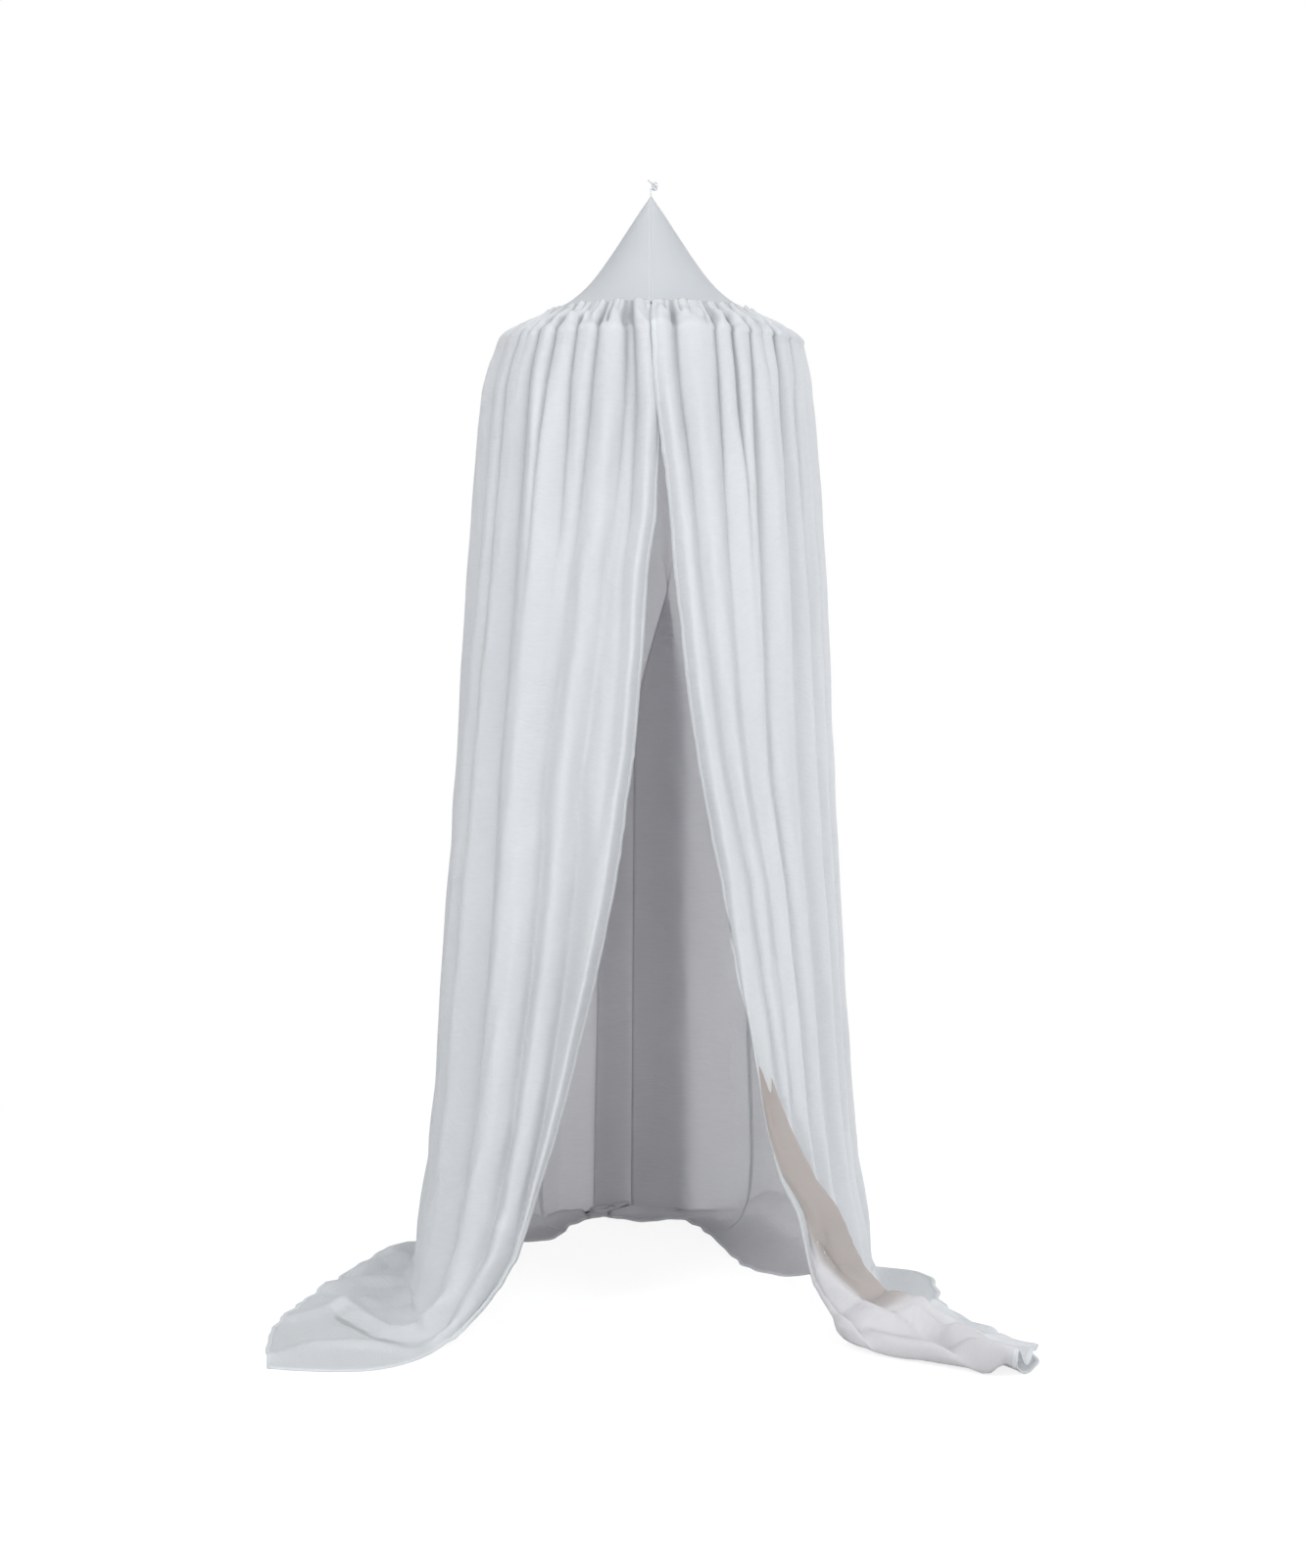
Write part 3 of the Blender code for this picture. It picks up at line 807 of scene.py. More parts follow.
    def build(self) -> Array:
        """Grid of the cloth's place from the seam to the hem.

        Returns:
            Grid of points, rows down and columns round.
        """
        profile = self.heading_profile()
        heading = around(self.angles[None], profile[:-1, :1], profile[:-1, 1:])
        top, start = outward(self.angles) * profile[-1, 0], profile[-1, 1]
        touch = self.touch_points()
        rows = np.array(self.hem_rows)
        hem = smooth_table(self.angles, rows[:, 0], rows[:, 1:] / 1000.0)
        straight = np.where(self.angles < 180.0, self.left_straightness, self.right_straightness)
        straight = straight + (1.0 - straight) * ease(self.from_front() / self.straight_from)
        bow = np.where(self.angles < 180.0, 1.0 - ease(self.angles / self.bow_angle), 0.0)
        bow = bow[:, None] * np.array(self.left_bow)
        fall = np.linspace(0.0, 1.0, self.fall_rows + 1)[:, None]
        ahead = np.linspace(0.0, 1.0, self.floor_rows + 1)[1:][:, None]
        ground = -self.sizes.floor_drop + self.sizes.cloth / 2
        columns = []
        for column in range(len(self.angles)):
            pull = straight[column] * fall + (1.0 - straight[column]) * fall ** 3
            air = top[column] + pull * (touch[column] - top[column])
            air = np.concatenate([air, start + (ground - start) * fall], axis=1)
            control = (touch[column] + hem[column]) / 2 + bow[column]
            run = ((1 - ahead) ** 2 * touch[column] + 2 * ahead * (1 - ahead) * control
                   + ahead ** 2 * hem[column])
            floor = np.concatenate([run, np.full((len(run), 1), ground)], axis=1)
            columns.append(self.rounded(np.concatenate([air, floor]), self.angles[column]))
        return np.concatenate([heading, np.stack(columns, axis=1)])

    def read(self, grid: Array, angle: Array, place: Array) -> Array:
        """Read a grid of the envelope between its points.

        Args:
            grid: the envelope's points or normals.
            angle: angles in degrees.
            place: places from -1 at the seam to 2 at the hem.

        Returns:
            The grid's value at each angle and place.
        """
        row = np.interp(place, (-1.0, 0.0, 1.0, 2.0),
                        np.cumsum((0, self.heading_rows, self.fall_rows, self.floor_rows)))
        column = np.clip(angle / 360.0, 0.0, 1.0) * self.columns
        left = np.minimum(column.astype(int), self.columns - 1)
        upper = np.minimum(row.astype(int), grid.shape[0] - 2)
        across, down = (column - left)[..., None], (row - upper)[..., None]
        high = grid[upper, left] * (1 - across) + grid[upper, left + 1] * across
        low = grid[upper + 1, left] * (1 - across) + grid[upper + 1, left + 1] * across
        return high * (1 - down) + low * down


@dataclass(frozen=True)
class Crease:
    """A valley between two folds, by its angles under the hoop, midway and on the floor."""

    angles: Triple
    width: float = 5.5
    power: float = 1.6
    start: float = -1.3
    stop: float = 3.0
    strength: float = 1.0
    lean: float = 0.0
    fade: float = 0.12
    fan: float = 7.0
    midway: float = 0.45
    lean_off: float = 1.1
    lean_width: float = 0.8

    def off(self, angle: Array, place: Array) -> Array:
        """Distance from the crease in its widths.

        Args:
            angle: angles of the cloth in degrees.
            place: places down the cloth.

        Returns:
            Widths from the crease.
        """
        seam = self.angles[0] + self.fan * math.sin(2.0 * math.radians(self.angles[0]))
        middle = np.interp(place, (-1.0, 0.0, self.midway, 1.0), (seam, *self.angles))
        return (angle - middle) / self.width

    def alive(self, place: Array) -> Array:
        """Share of the crease's strength down the cloth."""
        shown = self.strength * ramp(place, self.start, self.fade)
        return shown * ramp(place, self.stop, -self.fade)

    def valley(self, angle: Array, place: Array) -> Array:
        """Share of the folds' height that the crease takes away."""
        return self.alive(place) * np.exp(-np.abs(self.off(angle, place)) ** self.power)

    def push(self, angle: Array, place: Array) -> Array:
        """Share of the folds' height by which the fold beside the crease leans over it."""
        beside = self.off(angle, place) - math.copysign(self.lean_off, self.lean)
        return -self.lean * self.alive(place) * np.exp(-(beside / self.lean_width) ** 2)


@dataclass(frozen=True)
class MainFolds:
    """The wide folds between the creases, and how far they stand out down the cloth."""

    left: tuple[Crease, ...] = (
        Crease((8.0, 9.0, 6.0), 3.5, start=0.02, stop=0.55, strength=0.5),
        Crease((10.5, 17.0, 5.0), 4.0, start=-0.3),
        Crease((19.5, 29.0, 17.0), 5.0),
        Crease((27.5, 32.0, 32.0), 3.2, stop=0.28),
        Crease((36.5, 39.0, 38.0), 3.0, stop=0.12),
        Crease((45.0, 48.5, 37.0), 6.0),
        Crease((56.0, 60.0, 55.0), 4.0, strength=0.55),
        Crease((67.0, 77.0, 74.0), 6.0),
        Crease((84.0, 93.0, 94.0), 5.0, strength=0.8),
        Crease((101.0, 108.0, 112.0), 6.0),
        Crease((116.0, 122.0, 124.0), 4.5, strength=0.8),
        Crease((131.0, 134.0, 135.0), 5.0),
    )
    right: tuple[Crease, ...] = (
        Crease((9.2, 11.0, 19.0), 4.6, lean=-0.15, strength=0.7),
        Crease((23.8, 20.5, 27.0), 5.0, lean=-0.10, strength=0.7),
        Crease((31.0, 27.0, 30.0), 2.6, stop=0.16, strength=0.8),
        Crease((39.0, 31.5, 36.0), 5.5, lean=-0.2, strength=0.8),
        Crease((52.5, 46.0, 46.0), 5.0, start=-0.4, strength=0.8),
        Crease((64.0, 60.0, 60.0), 6.0, lean=-0.15, strength=0.9),
        Crease((78.0, 76.0, 76.0), 5.0),
        Crease((92.0, 92.0, 90.0), 5.0, strength=0.85),
        Crease((107.0, 108.0, 108.0), 5.5),
        Crease((121.0, 124.0, 124.0), 6.0, strength=0.5),
        Crease((135.0, 137.0, 138.0), 6.0, strength=0.5),
    )
    heights: Table = (
        (-1.0, 0.0), (-0.8, 0.001), (-0.5, 0.004), (-0.3, 0.005), (-0.1, 0.002), (0.0, 0.0025),
        (0.02, 0.006), (0.05, 0.012), (0.09, 0.018), (0.15, 0.022), (0.35, 0.031), (0.85, 0.04),
        (0.95, 0.03), (1.08, 0.01), (1.3, 0.002), (2.0, 0.0),
    )
    sway: float = 1.2
    sway_waves: RandomWaves = RandomWaves(5, 60.0, 0.7, spread=0.7)
    sway_from: Ramp = (0.0, 0.3)
    unlike: float = 0.22
    unlike_waves: RandomWaves = RandomWaves(7, 22.0, 0.8)
    flat_from: Ramp = (140.0, 10.0)
    flat_to: Ramp = (244.0, -28.0)
    pleat_from: Ramp = (0.05, 0.35)
    pleat_to: Ramp = (0.95, 0.25)
    pleat_share: float = 0.3
    pleats: Table = (
        (146.0, 0.010), (150.0, 0.010), (156.0, 0.0), (200.0, 0.0),
        (214.0, 0.006), (228.0, 0.010), (240.0, 0.004),
    )

    def behind(self, angle: Array) -> Array:
        """Share of the back's own flat pleats, which take the place of the round folds there."""
        return ramp(angle, *self.flat_from) * ramp(angle, *self.flat_to)

    def read(self, angle: Array, place: Array) -> tuple[Array, Array]:
        """How far the main folds push the cloth outwards and along itself.

        Args:
            angle: angles in degrees.
            place: places down the cloth.

        Returns:
            Outward push and push towards larger angles, in metres.
        """
        sway = self.sway_waves.read(angle, place) * self.sway
        sway = sway * ramp(place, *self.sway_from)
        tall = read_table(self.heights, place)
        tall = tall * (1.0 + self.unlike * self.unlike_waves.read(angle, place))
        here, mirrored = (angle + sway, place), (360.0 - angle - sway, place)
        valley = sum(crease.valley(*here) for crease in self.left)
        valley = valley + sum(crease.valley(*mirrored) for crease in self.right)
        push = sum(crease.push(*here) for crease in self.left)
        push = push - sum(crease.push(*mirrored) for crease in self.right)
        lift = tall * (1.0 - np.minimum(valley, 1.0))
        pleat = read_table(self.pleats, angle + sway * 0.5) * ramp(place, *self.pleat_from)
        pleat = pleat * (1.0 - ramp(place, *self.pleat_to)) + self.pleat_share * tall
        share = self.behind(angle)
        return lift + (pleat - lift) * share, tall * push * (1.0 - share)


@dataclass(frozen=True)
class LappedPleat:
    """Two flat pleats at the back, where the cloth runs back under itself and on again.

    A row holds the cloth's angle, the angle where it lies once it is pleated, and how far it stands out.
    """

    rows: tuple[Triple, ...] = (
        (146, 146, 0), (152, 157, 0.0037), (156, 164.4, 0.0136), (160.64, 172.9, 0.0161),
        (161.04, 173.6, 0.0143), (161.44, 172.9, 0.0112), (166.31, 163.9, 0.0062),
        (166.71, 163.2, 0.004), (167.11, 163.9, 0.0019), (171.9, 172.7, 0.0068), (173.7, 176, 0.0112),
        (182.17, 191.6, 0.0112), (182.57, 192.3, 0.0093), (182.97, 191.6, 0.0068), (191.98, 175, 0.0062),
        (192.38, 174.3, 0.0037), (192.78, 175, 0.0012), (199, 186.4, 0), (214, 214, 0),
    )
    top: Ramp = (0.14, 0.30)
    foot: Ramp = (1.25, -0.25)

    def turn(self, angle: Array, place: Array) -> tuple[Array, Array]:
        """Angles of the cloth once it is lapped, and how far each layer stands out.

        Args:
            angle: angles of the cloth in degrees.
            place: places down the cloth.

        Returns:
            The turned angles and the layers' heights.
        """
        share = ramp(place, *self.top) * ramp(place, *self.foot)
        angles, laid, depths = zip(*self.rows)
        turned = angle + (np.interp(angle, angles, laid) - angle) * share
        return turned, np.interp(angle, angles, depths) * share


@dataclass(frozen=True)
class Gathers:
    """Short uneven folds under the crown's seam, where the cloth is drawn up on its tape.

    A short crease's width, stop and strength are each a least value and what chance or its length adds.
    """

    folds: MainFolds = MainFolds()
    count: int = 92
    seed: int = 12
    unlike: float = 0.28
    unlike_waves: RandomWaves = RandomWaves(17, 9.0, 1.5)
    unevenness: float = 0.55
    length_power: float = 1.8
    drift: float = 1.2
    drift_below: float = 1.5
    width: Triple = (0.50, 0.25, 0.5)
    power: float = 1.25
    stop: Pair = (-0.45, 0.75)
    strength: Pair = (0.45, 0.55)
    fade: float = 0.35
    narrow_width: float = 1.15
    narrow_power: float = 1.2
    narrow_stop: float = 0.50
    narrow_fade: float = 0.45
    heights: Table = (
        (-1.0, 0.0022), (-0.92, 0.003), (-0.78, 0.0056), (-0.61, 0.0098), (-0.45, 0.0126), (-0.28, 0.0106),
        (-0.12, 0.0068), (0.0, 0.0056), (0.03, 0.008), (0.09, 0.0085), (0.2, 0.005), (0.4, 0.0024),
        (1.0, 0.0012), (2.0, 0.0004),
    )

    def creases(self) -> list[Crease]:
        """The creases between the gathers: short ones all round, and narrow ones above the main folds.

        Returns:
            The creases.
        """
        source = np.random.default_rng(self.seed)
        steps = 1.0 + self.unevenness * source.uniform(-1.0, 1.0, self.count)
        middles = np.cumsum(steps) / steps.sum() * 360.0
        found = []
        for middle in middles:
            length = source.random() ** self.length_power
            drift = source.normal() * self.drift
            width = self.width[0] + self.width[1] * source.random() + self.width[2] * length
            strength = self.strength[0] + self.strength[1] * source.random()
            angles = (middle, middle + drift, middle + self.drift_below * drift)
            found.append(Crease(angles, width, self.power, stop=self.stop[0] + self.stop[1] * length,
                                strength=strength, fade=self.fade))
        mirrored = [tuple(360.0 - angle for angle in crease.angles) for crease in self.folds.right]
        for angles in [crease.angles for crease in self.folds.left] + mirrored:
            found.append(Crease(angles, self.narrow_width, self.narrow_power, stop=self.narrow_stop,
                                fade=self.narrow_fade))
        return found

    def height(self, angle: Array, place: Array) -> Array:
        """How far the gathers push the cloth outwards, in metres."""
        unlike = 1.0 + self.unlike * self.unlike_waves.read(angle, place)
        return read_table(self.heights, place) * unlike * (1.0 - self.valley(angle, place))

    def valley(self, angle: Array, place: Array) -> Array:
        """How deep in a crease each place is, from 0 to 1."""
        return np.minimum(sum(crease.valley(angle, place) for crease in self.creases()), 1.0)


@dataclass(frozen=True)
class FoldLine:
    """A ridge of the cloth along a bent line, or a groove where its height is below 0."""

    height: float
    width: float
    line: Array

    def lift(self, points: Array) -> Array:
        """How far the line lifts the cloth.

        Args:
            points: points of the cloth.

        Returns:
            Push along the cloth's normal in metres.
        """
        near = np.full(points.shape[:-1], np.inf)
        for start, end in zip(self.line[:-1], self.line[1:]):
            step = end - start
            share = np.clip(((points - start) @ step) / (step @ step), 0.0, 1.0)
            near = np.minimum(near, np.linalg.norm(points - start - share[..., None] * step, axis=-1))
        return self.height * np.exp(-(near / self.width) ** 2)


@dataclass(frozen=True)
class FloorFolds:
    """Ridges and grooves of the cloth that has run out on the floor.

    A row holds a fold's height and width in millimetres and then its points: x, y and the height over
    the floor in millimetres, or on the flap the angle in tenths of a degree and the place in hundredths.
    """

    rows: tuple[tuple, ...] = (
        (15, 16, (-470, -170, 11), (-421, -250, 11), (-391, -292, 11), (-358, -308, 12), (-330, -310, 20),
         (-290, -322, 55), (-255, -325, 109), (-235, -318, 160)),
        (-12, 12, (-480, -200, 11), (-440, -275, 11), (-405, -320, 11), (-360, -340, 12), (-318, -340, 25),
         (-268, -340, 80)),
        (10, 15, (-545, -400, 10), (-500, -352, 10), (-450, -345, 10), (-400, -358, 10), (-340, -385, 15)),
        (14, 22, (-500, -90, 10), (-455, -62, 10), (-410, -55, 15)),
        (18, 22, (-462, -10, 10), (-440, 30, 10), (-405, 50, 12)),
        (20, 20, (-425, 85, 10), (-400, 110, 10), (-370, 115, 15)),
        (8, 18, (-540, -230, 10), (-490, -190, 10), (-440, -150, 10)),
        (12, 12, (263, -356, 92), (318, -345, 36), (360, -355, 12), (415, -420, 11), (470, -452, 11)),
        (9, 10, (315, -380, 18), (345, -395, 12), (400, -450, 11)),
        (24, 18, (445, -395, 10), (490, -455, 10), (530, -530, 10)),
        (10, 16, (380, -270, 15), (440, -300, 10), (500, -380, 10)),
        (34, 26, (345, -205, 120), (385, -210, 50), (430, -222, 15)),
        (12, 14, (505, -290, 10), (470, -262, 10), (430, -240, 12)),
    )
    flap_rows: tuple[tuple, ...] = (
        (-13, 7.5, (3529, 86, 0), (3529, 93, 0), (3511, 98, 0), (3494, 115, 0), (3454, 135, 0)),
        (-10, 8, (3560, 92, 0), (3569, 97, 0), (3560, 107, 0), (3538, 138, 0), (3511, 160, 0),
         (3441, 190, 0)),
        (8, 10, (3578, 123, 0), (3545, 150, 0), (3507, 177, 0), (3454, 195, 0)),
        (-8, 9, (3400, 105, 0), (3380, 130, 0), (3360, 160, 0)),
    )
    floor_drop: int = 1760
    flap_scale: Triple = (0.0061, 0.30, 1.0)

    def lift(self, points: Array) -> Array:
        """How far all the lines lift the cloth.

        Args:
            points: points of the cloth.

        Returns:
            Push along the cloth's normal in metres.
        """
        floor = np.array((0, 0, self.floor_drop))
        lines = [FoldLine(height / 1000.0, width / 1000.0, (np.array(line) - floor) / 1000.0)
                 for height, width, *line in self.rows]
        return sum(line.lift(points) for line in lines)

    def flap_lift(self, angle: Array, place: Array) -> Array:
        """How far the flap's own lines lift the cloth.

        Args:
            angle: angles of the cloth.
            place: places down the cloth.

        Returns:
            Push along the cloth's normal in metres.
        """
        spot = np.stack([angle, place, np.zeros(angle.shape)], axis=-1) * self.flap_scale
        steps = np.array((10.0, 100.0, 1.0))
        lines = [FoldLine(height / 1000.0, width / 1000.0, np.array(line) / steps * self.flap_scale)
                 for height, width, *line in self.flap_rows]
        return sum(line.lift(spot) for line in lines)


@dataclass(frozen=True)
class LeafDraw:
    """How far the cloth is drawn along X at the doorway's edges and at the canopy's sides.

    A row of a table holds a place in thousandths and the way drawn there in tenths of a millimetre.
    """

    left_edge: Table = (
        (-1000, 0), (-300, 55), (0, 115), (40, 165), (80, 195), (115, 170), (150, 148), (190, 122),
        (220, 55), (240, 20), (263, 10), (300, -5), (330, -4), (357, -17), (420, -14), (490, -42),
        (545, -24), (600, -42), (655, -34), (700, -27), (723, -17), (780, 33), (845, 96), (890, 169),
        (920, 225), (948, 165), (950, 159), (973, 65), (980, 27), (1010, -63), (1020, -88), (1100, -123),
        (1210, -56), (1230, -40), (1300, -21), (1600, 150), (2000, 0),
    )
    right_edge: Table = (
        (-1000, 0), (-300, -22), (-33, -13), (0, -11), (40, -32), (62, -26), (80, -13), (110, 18),
        (115, 22), (138, 45), (150, 57), (190, 70), (240, 63), (302, 96), (355, 98), (420, 124), (487, 169),
        (490, 172), (542, 200), (550, 203), (598, 147), (600, 145), (635, 120), (650, 107), (690, 61),
        (700, 53), (750, -50), (797, -155), (800, -162), (843, -198), (845, -197), (875, -121), (890, -150),
        (948, -346), (950, -347), (980, -352), (1000, -402), (1090, -461), (1130, -507), (1210, -520),
        (1500, -339), (2000, 0),
    )
    left_side: Table = (
        (-1000, 0), (-30, 3), (0, -12), (10, -27), (20, -61), (50, -104), (90, -91), (150, -75), (260, -60),
        (360, -53), (420, -38), (470, -29), (580, -14), (600, -14), (680, 4), (700, 11), (790, 69),
        (870, 64), (940, -67), (950, -74),
    )
    right_side: Table = (
        (-1000, 0), (-30, -5), (0, -37), (40, -15), (50, -30), (90, -36), (150, -15), (260, -2), (360, -34),
        (470, -72), (580, -82), (680, -111), (790, -111), (870, -94), (930, 62), (940, 71), (1100, 83),
        (1300, 0),
    )
    edge_fade: Pair = (26.0, 60.0)
    fade_from: Ramp = (0.25, 0.5)
    flank_from: Ramp = (0.0, 70.0)
    flank_to: Ramp = (100.0, 50.0)
    wobble: float = 0.0011
    wobble_waves: RandomWaves = RandomWaves(61)
    wobble_pace: float = 55.0
    wobble_turn: float = 200.0
    rim: float = 3.0
    overlap: float = 0.007
    overlap_angle: float = 9.0
    overlap_from: Ramp = (-0.95, 0.4)
    overlap_to: Ramp = (0.12, 0.12)

    @staticmethod
    def way(table: Table, place: Array) -> Array:
        """How far a table draws the cloth at its places, in metres."""
        places, ways = (np.array(table) / (1000.0, 10000.0)).T
        return np.interp(place, places, ways)

    def draw(self, points: Array, normal: Array, angle: Array, place: Array) -> Array:
        """Draw the leaves to their lines and lay the right one over the left at the top.

        Args:
            points: points of the cloth.
            normal: outward normals of the envelope.
            angle: angles of the points.
            place: places of the points.

        Returns:
            The moved points.
        """
        fade = self.edge_fade[0] + (self.edge_fade[1] - self.edge_fade[0]) * ramp(place, *self.fade_from)
        drawn = np.zeros(points.shape[:-1])
        for edge, side, off in ((self.left_edge, self.left_side, angle),
                                (self.right_edge, self.right_side, 360.0 - angle)):
            flank = ramp(off, *self.flank_from) * (1.0 - ramp(off, *self.flank_to))
            drawn += self.way(edge, place) * (1.0 - ease(off / fade)) + self.way(side, place) * flank
        rim = np.exp(-np.minimum(angle, 360.0 - angle) / self.rim)
        waves = self.wobble_waves.read(place * self.wobble_pace, angle / self.wobble_turn)
        drawn += self.wobble * rim * waves
        over = 1.0 - ease((360.0 - angle) / self.overlap_angle)
        over = over * ramp(place, *self.overlap_from) * (1.0 - ramp(place, *self.overlap_to))
        moved = points + normal * (over * self.overlap)[..., None]
        moved[..., 0] += drawn
        return moved


@dataclass(frozen=True)
class Lapel:
    """The right leaf's edge, folded back over its outer side, wider towards the floor."""

    angle: float = 30.0
    start: float = 0.45
    full: float = 1.20
    lift: float = 0.020
    round: float = 0.012
    reach: float = 0.348
    grooves: Table = ((0.48, 0.012), (1.05, 0.008), (1.55, 0.007))
    groove_width: float = 0.16
    # Share across the turned edge where its painted shade starts; the grooves are spaced by it too.
    lapel_shade_edge: Table = (
        (0.5, 0.0), (0.78, 0.0), (0.85, 0.16), (0.90, 0.26), (0.95, 0.50), (1.0, 0.62), (1.3, 0.80),
    )
    spreads: tuple[tuple[int, int, int], ...] = (  # place in hundredths, outwards and up in millimetres
        (60, 0, 0), (70, 2, 0), (75, 14, 0), (80, 28, 0), (85, 41, 2), (90, 54, 8), (95, 68, 20),
        (100, 78, 31), (110, 92, 33), (120, 96, 33), (135, 86, 26), (150, 68, 16), (170, 38, 6),
        (200, 0, 0),
    )
    spread_power: float = 1.3
    # How softly the lapel's painted shade starts, and where down the cloth it comes and goes.
    lapel_shade_soft: float = 0.10
    lapel_shade_from: Ramp = (0.58, 0.16)
    lapel_shade_to: Ramp = (1.00, 0.28)
    wide_from: Ramp = (8.0, 8.0)
    wide_lift: float = 0.006
    groove_from: Ramp = (12.0, 8.0)

    def width(self, place: Array) -> Array:
        """Angle of cloth that is turned back, on both sides of the fold together."""
        return self.angle * ease((place - self.start) / (self.full - self.start))

    def turn(self, angle: Array, place: Array) -> tuple[Array, Array]:
        """Angles and lift of the cloth once it is folded back.

        Args:
            angle: angles of the cloth before it is folded.
            place: places down the cloth.

        Returns:
            The angles after the fold, and how far the cloth stands off the leaf.
        """
        width = self.width(place)
        crease = 360.0 - width / 2
        beyond = angle - crease
        soft = math.degrees(self.round / self.reach)
        turned = crease - np.sqrt(beyond ** 2 + soft ** 2)
        strength = ease(width / (2.0 * soft))
        over = beyond / np.maximum(width / 2, 1.0)
        rise = ease((beyond + soft) / (2.0 * soft)) * (
            self.lift + self.wide_lift * ramp(width, *self.wide_from))
        lapel_shade_edge = np.maximum(read_table(self.lapel_shade_edge, place), self.lapel_shade_soft)
        for share, depth in self.grooves:
            groove = np.exp(-((over / lapel_shade_edge - share) / self.groove_width) ** 2)
            rise = rise - depth * groove * ramp(width, *self.groove_from)
        return angle + (turned - angle) * strength, rise * strength

    def share(self, angle: Array, place: Array) -> Array:
        """Share of the way from the fold to the turned edge's hem."""
        width = self.width(place)
        return np.clip((angle - 360.0 + width / 2) / np.maximum(width / 2, 1.0), 0.0, 1.0)

    def spread(self, angle: Array, place: Array) -> Array:
        """How far the turned edge falls open towards the side, as offsets in space.

        Args:
            angle: angles of the cloth in degrees.
            place: places down the cloth.

        Returns:
            An offset for each point.
        """
        share = self.share(angle, place) ** self.spread_power
        table = np.array(self.spreads)
        rows = smooth_table(place[:, 0], table[:, 0] / 100.0, table[:, 1:] / 1000.0)
        out, up = (rows[:, part, None] * share for part in (0, 1))
        return np.stack([out, np.zeros(out.shape), up], axis=-1)

    def lapel_shade_share(self, angle: Array, place: Array) -> Array:
        """Share of the painted shade, darker and warmer, on the turned edge.

        Args:
            angle: angles of the cloth in degrees.
            place: places down the cloth.

        Returns:
            Share from 0 to 1.
        """
        share = self.share(angle, place)
        seen = ease((share - read_table(self.lapel_shade_edge, place)) / self.lapel_shade_soft)
        return seen * ramp(place, *self.lapel_shade_from) * (1.0 - ramp(place, *self.lapel_shade_to))


@dataclass
class StitchRow:
    """Even machine stitches along paths, each a small rounded thread."""

    finishes: Finishes
    pitch: float = 0.0036
    length: float = 0.0027
    radius: float = 0.00030

    def tree(self) -> bpy.types.NodeTree:
        """Geometry nodes that set stitches along the edges of a mesh.

        Returns:
            The node group.
        """
        tree = bpy.data.node_groups.new("stitch_row", "GeometryNodeTree")
        bench = NodeBench(tree)
        given = bench.group(("Pitch", "Length", "Radius"))
        curve = bench.first("GeometryNodeMeshToCurve", {"Mesh": given["Geometry"]})
        even = bench.first("GeometryNodeResampleCurve", {"Curve": curve, "Length": given["Pitch"]},
                           mode="LENGTH")
        along = bench.first("GeometryNodeInputTangent")
        turn = bench.first("FunctionNodeAlignRotationToVector", {"Vector": along}, axis="Z")
        ball = bench.add("GeometryNodeMeshUVSphere", {"Segments": 6, "Rings": 4, "Radius": 1.0})
        marked = bench.first("GeometryNodeStoreNamedAttribute", {
            "Geometry": ball.outputs["Mesh"], "Name": "UVMap", "Value": ball.outputs["UV Map"],
        }, data_type="FLOAT2", domain="CORNER")
        size = bench.first("ShaderNodeCombineXYZ", {0: given["Radius"], 1: given["Radius"],
                                                    2: bench.times(given["Length"], 0.5)})
        placed = bench.first("GeometryNodeInstanceOnPoints", {
            "Points": even, "Instance": marked, "Rotation": turn, "Scale": size,
        })
        bench.close_group(placed, given["Material"])
        return tree

    def build(self, name: str, paths: list[Array]) -> Piece:
        """Sew along paths.

        Args:
            name: name of the piece.
            paths: points of each row of stitches.

        Returns:
            All the stitches as one piece.
        """
        mesh = bpy.data.meshes.new(name + "_path")
        ends = np.cumsum([0] + [len(path) for path in paths])
        edges = [(step, step + 1) for first, last in zip(ends[:-1], ends[1:])
                 for step in range(first, last - 1)]
        mesh.from_pydata(np.concatenate(paths).tolist(), edges, [])
        source = add_object(name + "_path", mesh)
        modifier = source.modifiers.new("stitches", "NODES")
        modifier.node_group = self.tree()
        set_inputs(modifier, {"Pitch": self.pitch, "Length": self.length, "Radius": self.radius,
                              "Material": self.finishes.thread})
        return plain_mesh(source, name)


class Panel(Enum):
    """The three cloths of the curtain, with the angles of their edges."""

    LEFT = (0.0, 146.0)
    BACK = (146.0, 214.0)
    RIGHT = (214.0, 360.0)

    def part(self, kind: str) -> str:
        """Name of one of the cloth's parts."""
        return f"{self.name.lower()}_{kind}"


